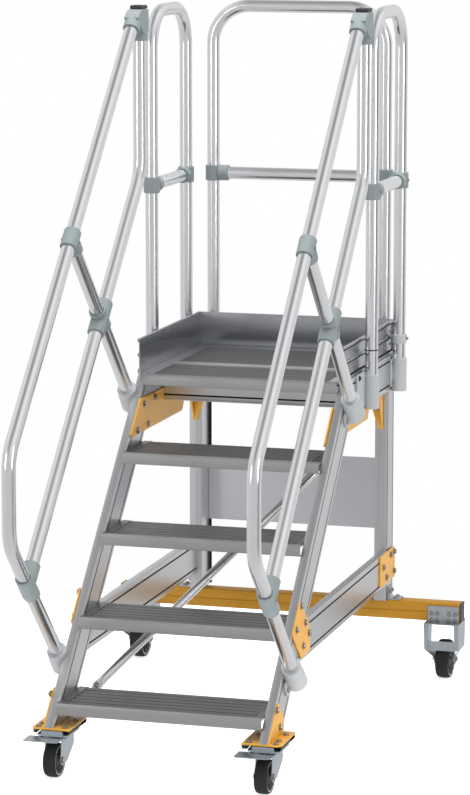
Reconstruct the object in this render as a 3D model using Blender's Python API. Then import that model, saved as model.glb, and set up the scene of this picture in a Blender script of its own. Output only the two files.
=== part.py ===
"""A mobile platform stair: four treads and a guarded platform on four castors.

Metres, +Z up. Y runs from the foot of the stair to its back, and X across it, with left at -X.
Every size below is measured from the nose of the lowest tread: Y = 0 there, and Z = 0 is the floor.
The empty "stair" carries everything and puts the origin under the middle of the whole object.
"""

import math

import bmesh
import bpy
from mathutils import Matrix, Vector

# Stair and platform
RISE = 0.208
RUN = 0.208
TREAD_COUNT = 4
FIRST_TREAD_TOP = 0.2122
CLEAR_WIDTH = 0.613
PLATFORM_LENGTH = 0.643
TREAD_DEPTH = 0.2134
TREAD_SKIN = 0.0032
TREAD_LIP = 0.0347
TREAD_RIB = 0.024
PLATFORM_TREAD_EXTRA = 0.005

# Aluminium profile of the stringers, beams and side members
PROFILE_WIDTH = 0.026
PROFILE_DEPTH = 0.112
PROFILE_WALL = 0.0025
STRINGER_SETBACK = 0.0284
FRONT_BEAM_INSET = 0.202

# Toe boards around the platform
TOE_HEIGHT = 0.106
TOE_WEB = 0.003
TOE_DEPTH = 0.008
TOE_LIP = 0.008
TOE_INSET = 0.013
TOE_SETBACK = 0.0047

# Rear frame
POST_WIDTH = 0.041
POST_DEPTH = 0.086
POST_OUTER_INSET = 0.0035
MEMBER_BOTTOM = 0.302
PANEL_BOTTOM = 0.470
PANEL_HEIGHT = 0.230
PANEL_THICKNESS = 0.003
PANEL_BEFORE_POST_BACK = 0.003
STABILISER_BOTTOM = 0.190
STABILISER_HEIGHT = 0.060
STABILISER_DEPTH = 0.055
STABILISER_LENGTH = 1.142
STABILISER_WALL = 0.003
STABILISER_BEHIND_POST_FRONT = 0.016

# Tubes
TUBE_RADIUS = 0.020
TUBE_WALL = 0.002
TUBE_STANDOFF = 0.001
BRACE_RADIUS = 0.0125
BRACE_WALL = 0.0015
BRACE_INSET = 0.039
BRACE_CLEARANCE = 0.002
BRACE_START_ALONG = 0.180
BRACE_END_BEFORE_PLATFORM = 0.165

# Handrails: distances square to the nosing line, or along it
UPPER_RAIL_LIFT = 0.709
MID_RAIL_LIFT = 0.3357
RAIL_BEND = 0.110
RAIL_FRONT_Y = -0.2415
LOWER_LEG_ALONG = 0.188
BRACE_BEFORE_PLATFORM = 0.0432
UPRIGHT_BEHIND_LIP = 0.128
CONNECTOR_REACH = 0.065
CONNECTOR_WALL = 0.003
CONNECTOR_HEIGHT = 0.052
CONNECTOR_CHAMFER = (0.018, 0.010)
CONNECTOR_FRONT_EDGE = 0.020
CROSS_CLEARANCE = 0.0009
CROSS_WALL = 0.0056
CROSS_LENGTH = 0.084

# Guards round the platform
GUARD_HEIGHT = 1.092
GUARD_MID_HEIGHT = 0.556
GUARD_BEND = 0.120
GUARD_FRONT_BEHIND_LIP = 0.247
GUARD_BACK_BEFORE_END = 0.0315
REAR_GUARD_INSET = 0.0235

# Gussets and feet
GUSSET_THICKNESS = 0.005
GUSSET_BELOW_TOP = 0.072
GUSSET_HEIGHT = 0.104
GUSSET_BEHIND_MITRE = 0.371
GUSSET_INSIDE_EDGE = 0.006
GUSSET_FRONT_CHAMFER = (0.025, 0.008)
GUSSET_BACK_CHAMFER = (0.017, 0.024)
FOOT_TOP = 0.145
FOOT_THICKNESS = 0.005
FOOT_WIDTH = 0.116
FOOT_LENGTH = 0.165
FOOT_AHEAD_OF_STRINGER = 0.003
LUG_HEIGHT = 0.097
LUG_TOP_EDGE = (0.017, -0.011)
LUG_BACK_EDGE = ((0.007, 0.043), (0.003, 0.030))
LUG_FRONT_INSET = 0.003
LUG_BACK_INSET = 0.008
FOOT_PLATE_INBOARD = 0.0055
CASTOR_SHIFT = 0.007  # both front castors are the same hand, and sit this far towards +X

# Front swivel castors
PAD_THICKNESS = 0.0123
HEAD_THICKNESS = 0.006
HEAD_WIDTH = 0.096
HEAD_LENGTH = 0.115
RACE_RADIUS = 0.030
RACE_HEIGHT = 0.0119
HEAD_AHEAD_OF_FOOT = 0.0035
FLANGE_HALF_WIDTH = 0.033
FLANGE_HEIGHT = 0.0113
FUSED = 0.002  # how far a helper shape goes into what it joins
SHEET = 0.003
FRONT_WHEEL_RADIUS = 0.050
FRONT_WHEEL_WIDTH = 0.038
SWIVEL_OFFSET = 0.042
FORK_BESIDE_WHEEL = 0.0065
# each station: height above the axle, reach before it and behind it
FORK_STATIONS = ((-0.014, 0.0095, 0.0385), (0.0, 0.0165, 0.0625), (0.027, 0.0095, 0.103))
FORK_CROWN_REACH = (0.0035, 0.1035)
FRONT_HUB_BESIDE_WHEEL = 0.0015
FRONT_AXLE_BEHIND_FOOT = 0.0155
PEDAL_WIDTH = 0.107
PEDAL_LEFT = 0.073
PEDAL_LENGTH = 0.060
PEDAL_BEFORE_AXLE = 0.0115
PEDAL_ABOVE_FORK = 0.002
PEDAL_HALF = 0.004  # half the height of the edge turned down along the hinge

# Rear fixed castors
REAR_WHEEL_RADIUS = 0.0625
REAR_WHEEL_WIDTH = 0.042
REAR_CASTOR_INBOARD = 0.0575
REAR_AXLE_BEHIND_BEAM = 0.035
BRACKET_HALF_WIDTH = 0.056
BRACKET_TIP_HALF_WIDTH = 0.034
FACE_PLATE_HEIGHT = 0.058
FACE_PLATE_INSET = 0.0055
FACE_PLATE_BELOW_TOP = 0.006
WEB_FRONT = -0.061
WEB_HEIGHTS = (0.039, 0.070)
# each station: height above the axle, reach before it and behind it
BRACKET_STATIONS = ((-0.020, 0.016, 0.016), (0.008, 0.024, 0.024), (0.040, 0.062, 0.036))
BRACKET_LEDGE_REACH = (0.070, 0.040)
REAR_HUB_CLEARANCE = 0.002

# Wheels
TYRE_THICKNESS = 0.005
TYRE_SHOULDER = (0.0035, 0.0025)
RIM_HALF_WEB = 0.006
RIM_HUB_WALL = 0.006
RIM_RING = 0.008
RIM_INSIDE_TYRE = 0.002
RIM_EDGE = 0.004
AXLE_RADIUS = 0.006
AXLE_CLEARANCE = 0.0005
WHEEL_SEGMENTS = 24
RACE_SIDES = 24
AXLE_SIDES = 12
SLEEVE_SIDES = 20
NUT_REACH = 0.004
REAR_NUT_REACH = 0.006

GAP = 0.0003  # clearance between pieces that touch
BEND_STEP = math.radians(15)

# Worked out from the sizes above
SLOPE = Vector((RUN, RISE)).normalized()  # up the stair, in Y and Z
LIFT = Vector((-SLOPE.y, SLOPE.x))  # square to it, away from the stair
NOSE = Vector((0.0, FIRST_TREAD_TOP))
STAIR_LENGTH = TREAD_COUNT * math.hypot(RUN, RISE)
LIP_Y = TREAD_COUNT * RUN
PLATFORM_TOP = FIRST_TREAD_TOP + TREAD_COUNT * RISE
BEAM_BOTTOM = PLATFORM_TOP - PROFILE_DEPTH
PLATFORM_END = LIP_Y + PLATFORM_LENGTH
INNER_X = CLEAR_WIDTH / 2
OUTER_X = INNER_X + PROFILE_WIDTH
RAIL_X = OUTER_X + TUBE_RADIUS + TUBE_STANDOFF
UPRIGHT_Y = LIP_Y + UPRIGHT_BEHIND_LIP
REAR_GUARD_Y = PLATFORM_END + GAP + PROFILE_WIDTH + TUBE_RADIUS + TUBE_STANDOFF
POST_BACK = PLATFORM_END + TOE_SETBACK
POST_FRONT = POST_BACK - POST_DEPTH
POST_OUTER_X = OUTER_X - POST_OUTER_INSET
STABILISER_TOP = STABILISER_BOTTOM + STABILISER_HEIGHT
STABILISER_FRONT = POST_FRONT + STABILISER_BEHIND_POST_FRONT
MIDDLE_Y = (RAIL_FRONT_Y + REAR_GUARD_Y) / 2
SIDES = (("left", -1), ("right", 1))


def cleared_scene():
    for obj in list(bpy.data.objects):
        bpy.data.objects.remove(obj, do_unlink=True)


def material(name, colour, roughness, metallic=0.0):
    made = bpy.data.materials.new(name)
    made.use_nodes = True
    shader = made.node_tree.nodes["Principled BSDF"]
    shader.inputs["Base Color"].default_value = (*colour, 1.0)
    shader.inputs["Roughness"].default_value = roughness
    shader.inputs["Metallic"].default_value = metallic
    return made


def empty(name, location, parent=None):
    made = bpy.data.objects.new(name, None)
    bpy.context.scene.collection.objects.link(made)
    made.location = location
    made.parent = parent
    return made


def finish(name, data, look, parent):
    """Links one object, as a child of the given empty, with its material."""
    made = bpy.data.objects.new(name, data)
    made.data.materials.append(look)
    made.parent = parent
    bpy.context.scene.collection.objects.link(made)
    return made


def from_bmesh(name, bm, look, parent):
    bmesh.ops.recalc_face_normals(bm, faces=bm.faces)
    data = bpy.data.meshes.new(name)
    bm.to_mesh(data)
    bm.free()
    return finish(name, data, look, parent)


def stitched(bm, loops, closed):
    """Faces between each loop of points and the next, and from the last back to the first if closed."""
    rings = [[bm.verts.new(point) for point in loop] for loop in loops]
    for ring, after in zip(rings, rings[1:] + rings[:1] if closed else rings[1:]):
        for i in range(len(ring)):
            j = (i + 1) % len(ring)
            bm.faces.new((ring[i], ring[j], after[j], after[i]))
    return rings


def along_x(point, x):
    return (x, point[0], point[1])


def along_y(point, y):
    return (point[0], y, point[1])


def along_z(point, z):
    return (point[0], point[1], z)


def prism(name, outline, place, low, high, look, parent):
    """A flat outline carried from one level to another; place says which axis it is carried along."""
    bm = bmesh.new()
    face = bm.faces.new([bm.verts.new(place(point, low)) for point in outline])
    grown = bmesh.ops.extrude_face_region(bm, geom=[face])
    corners = [item for item in grown["geom"] if isinstance(item, bmesh.types.BMVert)]
    bmesh.ops.translate(bm, verts=corners, vec=place((0, 0), high - low))
    return from_bmesh(name, bm, look, parent)


def block(name, low, high, look, parent):
    outline = [(low[0], low[1]), (high[0], low[1]), (high[0], high[1]), (low[0], high[1])]
    return prism(name, outline, along_z, low[2], high[2], look, parent)


def hollow_bar(name, start, end, size, wall, look, parent):
    """A rectangular tube with open ends. Each end is its four outer corners, which may lie on a mitre.

    size is the section's true width and depth, square to the bar, along the corners' first and last side.
    """
    rings = []
    for corners in (start, end):
        first, second, _, last = (Vector(corner) for corner in corners)
        across = (second - first) * wall / size[0]
        down = (last - first) * wall / size[1]
        signs = ((1, 1), (-1, 1), (-1, -1), (1, -1))
        inner = [Vector(c) + across * a + down * d for c, (a, d) in zip(corners, signs)]
        rings.append((corners, inner))
    bm = bmesh.new()
    stitched(bm, [rings[0][0], rings[1][0], rings[1][1], rings[0][1]], closed=True)
    return from_bmesh(name, bm, look, parent)


def side_bar(name, start, end, side, look, parent):
    """A profile in the plane of a stringer. Each end is its lower and upper point, in Y and Z."""
    ends = []
    for low, high in (start, end):
        ends.append(
            [
                (side * INNER_X, low[0], low[1]),
                (side * OUTER_X, low[0], low[1]),
                (side * OUTER_X, high[0], high[1]),
                (side * INNER_X, high[0], high[1]),
            ]
        )
    size = (PROFILE_WIDTH, PROFILE_DEPTH)
    return hollow_bar(name, ends[0], ends[1], size, PROFILE_WALL, look, parent)


def cross_bar(name, half_length, y, z, size, wall, look, parent):
    """A rectangular tube along X, whose section starts at y and z."""
    ends = []
    for x in (-half_length, half_length):
        corners = [(y, z), (y + size[0], z), (y + size[0], z + size[1]), (y, z + size[1])]
        ends.append([along_x(corner, x) for corner in corners])
    return hollow_bar(name, ends[0], ends[1], size, wall, look, parent)


def bent_path(corners, radius):
    """The corners with each inner one rounded to the radius, in steps of at most BEND_STEP."""
    corners = [Vector(corner) for corner in corners]
    path = [corners[0]]
    for before, corner, after in zip(corners, corners[1:], corners[2:]):
        arriving = (corner - before).normalized()
        leaving = (after - corner).normalized()
        turn = arriving.angle(leaving)
        reach = radius * math.tan(turn / 2)
        start = corner - arriving * reach
        inward = (leaving - arriving * math.cos(turn)).normalized()
        steps = math.ceil(turn / BEND_STEP)
        for i in range(steps + 1):
            angle = turn * i / steps
            forward = arriving * math.sin(angle)
            path.append(start + (forward + inward * (1 - math.cos(angle))) * radius)
    return path + [corners[-1]]


def tube(name, path, look, parent, radius=TUBE_RADIUS, wall=TUBE_WALL):
    """A round tube with open ends along a path."""
    curve = bpy.data.curves.new(name, "CURVE")
    curve.dimensions = "3D"
    curve.bevel_depth = radius
    curve.bevel_resolution = 4
    spline = curve.splines.new("POLY")
    spline.points.add(len(path) - 1)
    for point, place in zip(spline.points, path):
        point.co = (*place, 1.0)
    made = finish(name, curve, look, parent)
    thickness = made.modifiers.new("wall", "SOLIDIFY")
    thickness.thickness = wall
    thickness.offset = -1.0
    return made


def rod(name, start, end, radius, sides, look, parent):
    """A solid round bar between two points."""
    start, end = Vector(start), Vector(end)
    bm = bmesh.new()
    turn = (end - start).to_track_quat("Z", "Y").to_matrix().to_4x4()
    place = Matrix.Translation((start + end) / 2) @ turn
    length = (end - start).length
    bmesh.ops.create_cone(
        bm, cap_ends=True, segments=sides, radius1=radius, radius2=radius, depth=length, matrix=place
    )
    return from_bmesh(name, bm, look, parent)


def turned(name, profile, look, parent):
    """A closed profile of (x, radius) points turned about X, with flats as far out as the radius says."""
    outward = 1 / math.cos(math.pi / WHEEL_SEGMENTS)
    loops = []
    for i in range(WHEEL_SEGMENTS):
        angle = 2 * math.pi * (i + 0.5) / WHEEL_SEGMENTS
        y, z = outward * math.sin(angle), outward * math.cos(angle)
        loops.append([(x, radius * y, radius * z) for x, radius in profile])
    bm = bmesh.new()
    stitched(bm, loops, closed=True)
    made = from_bmesh(name, bm, look, parent)
    made.data.shade_smooth()
    made.data.set_sharp_from_angle(angle=math.radians(35))
    return made


def folded_sheet(name, outer, inner, widths, look, parent):
    """An inverted U of sheet. outer and inner are its two faces at +X, from the tip up; widths are in Y."""
    stations = list(zip(outer, inner, widths))
    mirrored = [((-o[0], o[1]), (-i[0], i[1]), w) for o, i, w in reversed(stations)]
    loops = []
    for out, back, (low, high) in stations + mirrored:
        loops.append([along_y(out, low), along_y(out, high), along_y(back, high), along_y(back, low)])
    bm = bmesh.new()
    rings = stitched(bm, loops, closed=False)
    bm.faces.new(rings[0])
    bm.faces.new(reversed(rings[-1]))
    return from_bmesh(name, bm, look, parent)


def combine(target, others, operation):
    """Joins helper shapes to the target, or cuts them from it, and hides them."""
    for other in others:
        other.hide_render = True
        other.display_type = "WIRE"
        change = target.modifiers.new(operation.lower(), "BOOLEAN")
        change.operation = operation
        change.solver = "EXACT"
        change.object = other
    return target


def slope_point(along, lift):
    """A point this far up the nosing line and this far out from it, in Y and Z."""
    return NOSE + SLOPE * along + LIFT * lift


def on_slope_at_y(lift, y):
    base = slope_point(0, lift)
    return base + SLOPE * (y - base.x) / SLOPE.x


def on_slope_at_z(lift, z):
    base = slope_point(0, lift)
    return base + SLOPE * (z - base.y) / SLOPE.y


def on_square_at_y(along, y):
    """The point at this Y on the line that leaves the nosing line squarely."""
    base = slope_point(along, 0)
    return base + LIFT * (y - base.x) / LIFT.x


def ribbed_section(front, back, top, lip, feet):
    """An upside-down comb: a skin with a front lip and ribs under it, each at its own Y."""
    outline = [(back, top), (front, top)]
    legs = [(front, lip)] + [(y, TREAD_RIB) for y in feet] + [(back - TREAD_SKIN, TREAD_RIB)]
    for y, drop in legs:
        outline.append((y, top - TREAD_SKIN))
        outline.append((y, top - drop))
        outline.append((y + TREAD_SKIN, top - drop))
        outline.append((y + TREAD_SKIN, top - TREAD_SKIN))
    return [point for i, point in enumerate(outline) if i not in (2, len(outline) - 1)]


def plank(name, front, back, top, lip, feet, look, parent):
    outline = ribbed_section(front, back, top, lip, feet)
    half = INNER_X - GAP
    return prism(name, outline, along_x, -half, half, look, parent)


def rib_places(front, depth, count):
    return [front + depth * i / (count + 1) for i in range(1, count + 1)]


def build_stringers(looks, root):
    front, back = -STRINGER_SETBACK, -STRINGER_SETBACK - PROFILE_DEPTH
    foot = FOOT_TOP + GAP
    start = (on_slope_at_z(back, foot), on_slope_at_z(front, foot))
    shorter = SLOPE * GAP
    mitre = (on_slope_at_z(back, BEAM_BOTTOM), on_slope_at_z(front, PLATFORM_TOP))
    end = (mitre[0] - shorter, mitre[1] - shorter)
    later = Vector((GAP, 0))
    beam_start = (mitre[0] + later, mitre[1] + later)
    beam_end = ((PLATFORM_END, BEAM_BOTTOM), (PLATFORM_END, PLATFORM_TOP))
    member_top = MEMBER_BOTTOM + PROFILE_DEPTH
    clear = back - GAP
    member_start = (on_slope_at_z(clear, MEMBER_BOTTOM), on_slope_at_z(clear, member_top))
    member_end = ((POST_FRONT - GAP, MEMBER_BOTTOM), (POST_FRONT - GAP, member_top))
    for word, side in SIDES:
        side_bar("stringer_" + word, start, end, side, looks["aluminium"], root)
        side_bar("platform_side_beam_" + word, beam_start, beam_end, side, looks["aluminium"], root)
        side_bar("side_member_" + word, member_start, member_end, side, looks["aluminium"], root)


def build_treads_and_deck(looks, root):
    look = looks["tread"]
    for i in range(TREAD_COUNT):
        front, top = i * RUN, FIRST_TREAD_TOP + i * RISE
        feet = rib_places(front, TREAD_DEPTH, 2)
        plank(f"tread_{i + 1}", front, front + TREAD_DEPTH, top, TREAD_LIP, feet, look, root)
    front_end = LIP_Y + TREAD_DEPTH + PLATFORM_TREAD_EXTRA
    feet = rib_places(LIP_Y, TREAD_DEPTH, 2)
    plank("platform_front_tread", LIP_Y, front_end, PLATFORM_TOP, TREAD_LIP, feet, look, root)
    deck_front = front_end + GAP
    feet = rib_places(deck_front, PLATFORM_END - deck_front, 4)
    plank("platform_deck", deck_front, PLATFORM_END, PLATFORM_TOP, TREAD_RIB, feet, look, root)


def build_platform_frame(looks, root):
    half = INNER_X - GUSSET_THICKNESS - 2 * GAP
    look = looks["aluminium"]
    front = LIP_Y + FRONT_BEAM_INSET
    under_ribs = PLATFORM_TOP - TREAD_RIB - GAP
    size = (PROFILE_WIDTH, under_ribs - BEAM_BOTTOM)
    cross_bar("platform_front_beam", half, front, BEAM_BOTTOM, size, PROFILE_WALL, look, root)
    back = PLATFORM_END + GAP
    size = (PROFILE_WIDTH, PROFILE_DEPTH)
    cross_bar("platform_rear_beam", OUTER_X, back, BEAM_BOTTOM, size, PROFILE_WALL, look, root)
    gusset_top = PLATFORM_TOP - GUSSET_BELOW_TOP
    gusset_bottom = gusset_top - GUSSET_HEIGHT
    edge = GUSSET_INSIDE_EDGE - STRINGER_SETBACK
    top_front = on_slope_at_z(edge, gusset_top)
    low_front = on_slope_at_z(edge, gusset_bottom + GUSSET_FRONT_CHAMFER[1])
    end = on_slope_at_z(-STRINGER_SETBACK, PLATFORM_TOP).x + GUSSET_BEHIND_MITRE
    outline = [
        tuple(top_front),
        tuple(low_front),
        (low_front.x + GUSSET_FRONT_CHAMFER[0], gusset_bottom),
        (end - GUSSET_BACK_CHAMFER[0], gusset_bottom),
        (end, gusset_bottom + GUSSET_BACK_CHAMFER[1]),
        (end, gusset_top),
    ]
    for word, side in SIDES:
        near, far = side * (INNER_X - GAP - GUSSET_THICKNESS), side * (INNER_X - GAP)
        prism("platform_gusset_" + word, outline, along_x, near, far, looks["yellow"], root)


def toe_section(base):
    """The toe board's section as (outward, up): a web with three lips on its outer face."""
    top = base + TOE_HEIGHT
    middle = base + TOE_HEIGHT / 2
    outline = [(0, base), (TOE_DEPTH, base), (TOE_DEPTH, base + TOE_LIP), (TOE_WEB, base + TOE_LIP)]
    outline += [(TOE_WEB, middle), (TOE_DEPTH, middle), (TOE_DEPTH, middle + TOE_LIP)]
    outline += [(TOE_WEB, middle + TOE_LIP), (TOE_WEB, top - TOE_LIP), (TOE_DEPTH, top - TOE_LIP)]
    return outline + [(TOE_DEPTH, top), (0, top)]


def build_toe_boards(looks, root):
    section = toe_section(PLATFORM_TOP + GAP)
    inner = INNER_X + TOE_INSET
    back = PLATFORM_END + TOE_SETBACK
    for word, side in SIDES:
        outline = [(side * (inner + out), up) for out, up in section]
        name = "toe_board_" + word
        prism(name, outline, along_y, LIP_Y + TOE_INSET, back - GAP, looks["aluminium"], root)
    outline = [(back + out, up) for out, up in section]
    half = inner + TOE_DEPTH
    prism("toe_board_rear", outline, along_x, -half, half, looks["aluminium"], root)


def build_rear_frame(looks, root):
    low, high = STABILISER_TOP + GAP, BEAM_BOTTOM - GAP
    for word, side in SIDES:
        outer, inner = side * POST_OUTER_X, side * (POST_OUTER_X - POST_WIDTH)
        ends = []
        for z in (low, high):
            corners = ((outer, POST_FRONT), (inner, POST_FRONT), (inner, POST_BACK), (outer, POST_BACK))
            ends.append([along_z(corner, z) for corner in corners])
        size = (POST_WIDTH, POST_DEPTH)
        hollow_bar("rear_post_" + word, ends[0], ends[1], size, PROFILE_WALL, looks["aluminium"], root)
    half = POST_OUTER_X - POST_WIDTH - GAP
    back = POST_BACK - PANEL_BEFORE_POST_BACK
    corner = (-half, back - PANEL_THICKNESS, PANEL_BOTTOM)
    block("rear_panel", corner, (half, back, PANEL_BOTTOM + PANEL_HEIGHT), looks["aluminium"], root)
    size = (STABILISER_DEPTH, STABILISER_HEIGHT)
    half = STABILISER_LENGTH / 2
    name, look = "rear_stabiliser_beam", looks["ochre"]
    cross_bar(name, half, STABILISER_FRONT, STABILISER_BOTTOM, size, STABILISER_WALL, look, root)


def build_diagonal_brace(looks, root):
    """A round brace behind the treads, from low on the left to high on the right."""
    lowest_edge = Vector((TREAD_DEPTH, -TREAD_RIB))
    lift = LIFT.dot(lowest_edge) - BRACE_RADIUS - BRACE_CLEARANCE
    half = INNER_X - BRACE_INSET
    low = slope_point(BRACE_START_ALONG, lift)
    high = slope_point(STAIR_LENGTH - BRACE_END_BEFORE_PLATFORM, lift)
    path = [Vector(along_x(low, -half)), Vector(along_x(high, half))]
    tube("diagonal_brace", path, looks["aluminium"], root, BRACE_RADIUS, BRACE_WALL)


def build_handrails(looks, root):
    top = on_slope_at_y(UPPER_RAIL_LIFT, UPRIGHT_Y - CONNECTOR_REACH)
    upper_corner = on_slope_at_y(UPPER_RAIL_LIFT, RAIL_FRONT_Y)
    lower_corner = on_square_at_y(LOWER_LEG_ALONG, RAIL_FRONT_Y)
    stringer_middle = -STRINGER_SETBACK - PROFILE_DEPTH / 2
    foot = slope_point(LOWER_LEG_ALONG, stringer_middle)
    upper = [top - SLOPE * 2 * GAP, upper_corner, lower_corner, foot]
    clear = TUBE_RADIUS + 2 * GAP
    connector_bottom = top.y - CONNECTOR_REACH / 2
    mid_corner = on_slope_at_y(MID_RAIL_LIFT, UPRIGHT_Y)
    mid_low = slope_point(LOWER_LEG_ALONG + clear, MID_RAIL_LIFT)
    mid = [Vector((UPRIGHT_Y, connector_bottom - GAP)), mid_corner, mid_low]
    brace_along = STAIR_LENGTH - BRACE_BEFORE_PLATFORM
    upper_brace = (MID_RAIL_LIFT + clear, UPPER_RAIL_LIFT - clear)
    lower_brace = (stringer_middle, MID_RAIL_LIFT - clear)
    half = TUBE_RADIUS + CONNECTOR_WALL
    connector = [
        top - LIFT * half,
        (UPRIGHT_Y - half, connector_bottom),
        (UPRIGHT_Y + half, connector_bottom),
        (UPRIGHT_Y + half, top.y + CONNECTOR_HEIGHT - CONNECTOR_CHAMFER[1]),
        (UPRIGHT_Y + half - CONNECTOR_CHAMFER[0], top.y + CONNECTOR_HEIGHT),
        (top.x + CONNECTOR_FRONT_EDGE, top.y + CONNECTOR_HEIGHT),
        top + LIFT * half,
    ]
    cross = slope_point(brace_along, MID_RAIL_LIFT)
    for word, side in SIDES:
        x = side * RAIL_X
        shiny = looks["tube"]
        path = bent_path([along_x(point, x) for point in upper], RAIL_BEND)
        tube("handrail_upper_" + word, path, shiny, root)
        path = bent_path([along_x(point, x) for point in mid], RAIL_BEND)
        tube("handrail_mid_" + word, path, shiny, root)
        for part, lifts in (("upper", upper_brace), ("lower", lower_brace)):
            path = [Vector(along_x(slope_point(brace_along, lift), x)) for lift in lifts]
            tube(f"handrail_brace_{part}_{word}", path, shiny, root)
        grey = looks["connector"]
        near, far = x - half, x + half
        prism("handrail_top_connector_" + word, connector, along_x, near, far, grey, root)
        cross_connector("handrail_cross_connector_" + word, cross, x, grey, root)


def cross_connector(name, centre, x, look, root):
    """Two short sleeves crossing squarely: one on the middle rail, one for both braces."""
    shapes = []
    bore = TUBE_RADIUS + CROSS_CLEARANCE
    for direction in (SLOPE, LIFT):
        for radius, half in ((bore + CROSS_WALL, CROSS_LENGTH / 2), (bore, CROSS_LENGTH)):
            ends = [along_x(centre + direction * reach, x) for reach in (-half, half)]
            label = name if not shapes else f"{name}_helper_{len(shapes)}"
            shapes.append(rod(label, ends[0], ends[1], radius, SLEEVE_SIDES, look, root))
    combine(shapes[0], [shapes[2]], "UNION")
    combine(shapes[0], [shapes[1], shapes[3]], "DIFFERENCE")


def build_guards(looks, root):
    top, middle = PLATFORM_TOP + GUARD_HEIGHT, PLATFORM_TOP + GUARD_MID_HEIGHT
    front, back = LIP_Y + GUARD_FRONT_BEHIND_LIP, PLATFORM_END - GUARD_BACK_BEFORE_END
    clear = TUBE_RADIUS + 2 * GAP
    look = looks["tube"]
    for word, side in SIDES:
        x = side * RAIL_X
        loop = [(x, front, BEAM_BOTTOM), (x, front, top), (x, back, top), (x, back, BEAM_BOTTOM)]
        tube("guard_loop_" + word, bent_path(loop, GUARD_BEND), look, root)
        rail = [Vector((x, front + clear, middle)), Vector((x, back - clear, middle))]
        tube("guard_mid_rail_" + word, rail, look, root)
    half, y = POST_OUTER_X - POST_WIDTH / 2 - REAR_GUARD_INSET, REAR_GUARD_Y
    loop = [(-half, y, BEAM_BOTTOM), (-half, y, top), (half, y, top), (half, y, BEAM_BOTTOM)]
    tube("guard_loop_rear", bent_path(loop, GUARD_BEND), look, root)
    rail = [Vector((-half + clear, y, middle)), Vector((half - clear, y, middle))]
    tube("guard_mid_rail_rear", rail, look, root)


def wheel(name, radius, width, hub_half, looks, parent):
    """A tyre and the rim inside it, turned about the parent empty's X axis."""
    inner = radius - TYRE_THICKNESS
    half = width / 2
    edge = [(-half, inner), (-half, radius - TYRE_SHOULDER[1]), (TYRE_SHOULDER[0] - half, radius)]
    tyre = edge + [(-x, r) for x, r in reversed(edge)]
    turned(name + "_tyre", tyre, looks["rubber"], parent)
    bore, outer, web = AXLE_RADIUS + AXLE_CLEARANCE, inner - GAP, RIM_HALF_WEB
    face = RIM_INSIDE_TYRE - half
    side = [(-hub_half, bore), (-hub_half, bore + RIM_HUB_WALL), (-web, bore + RIM_RING)]
    side += [(-web, outer - RIM_RING), (face, outer - RIM_EDGE), (face, outer)]
    turned(name + "_rim", side + [(-x, r) for x, r in reversed(side)], looks["rim"], parent)


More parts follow.
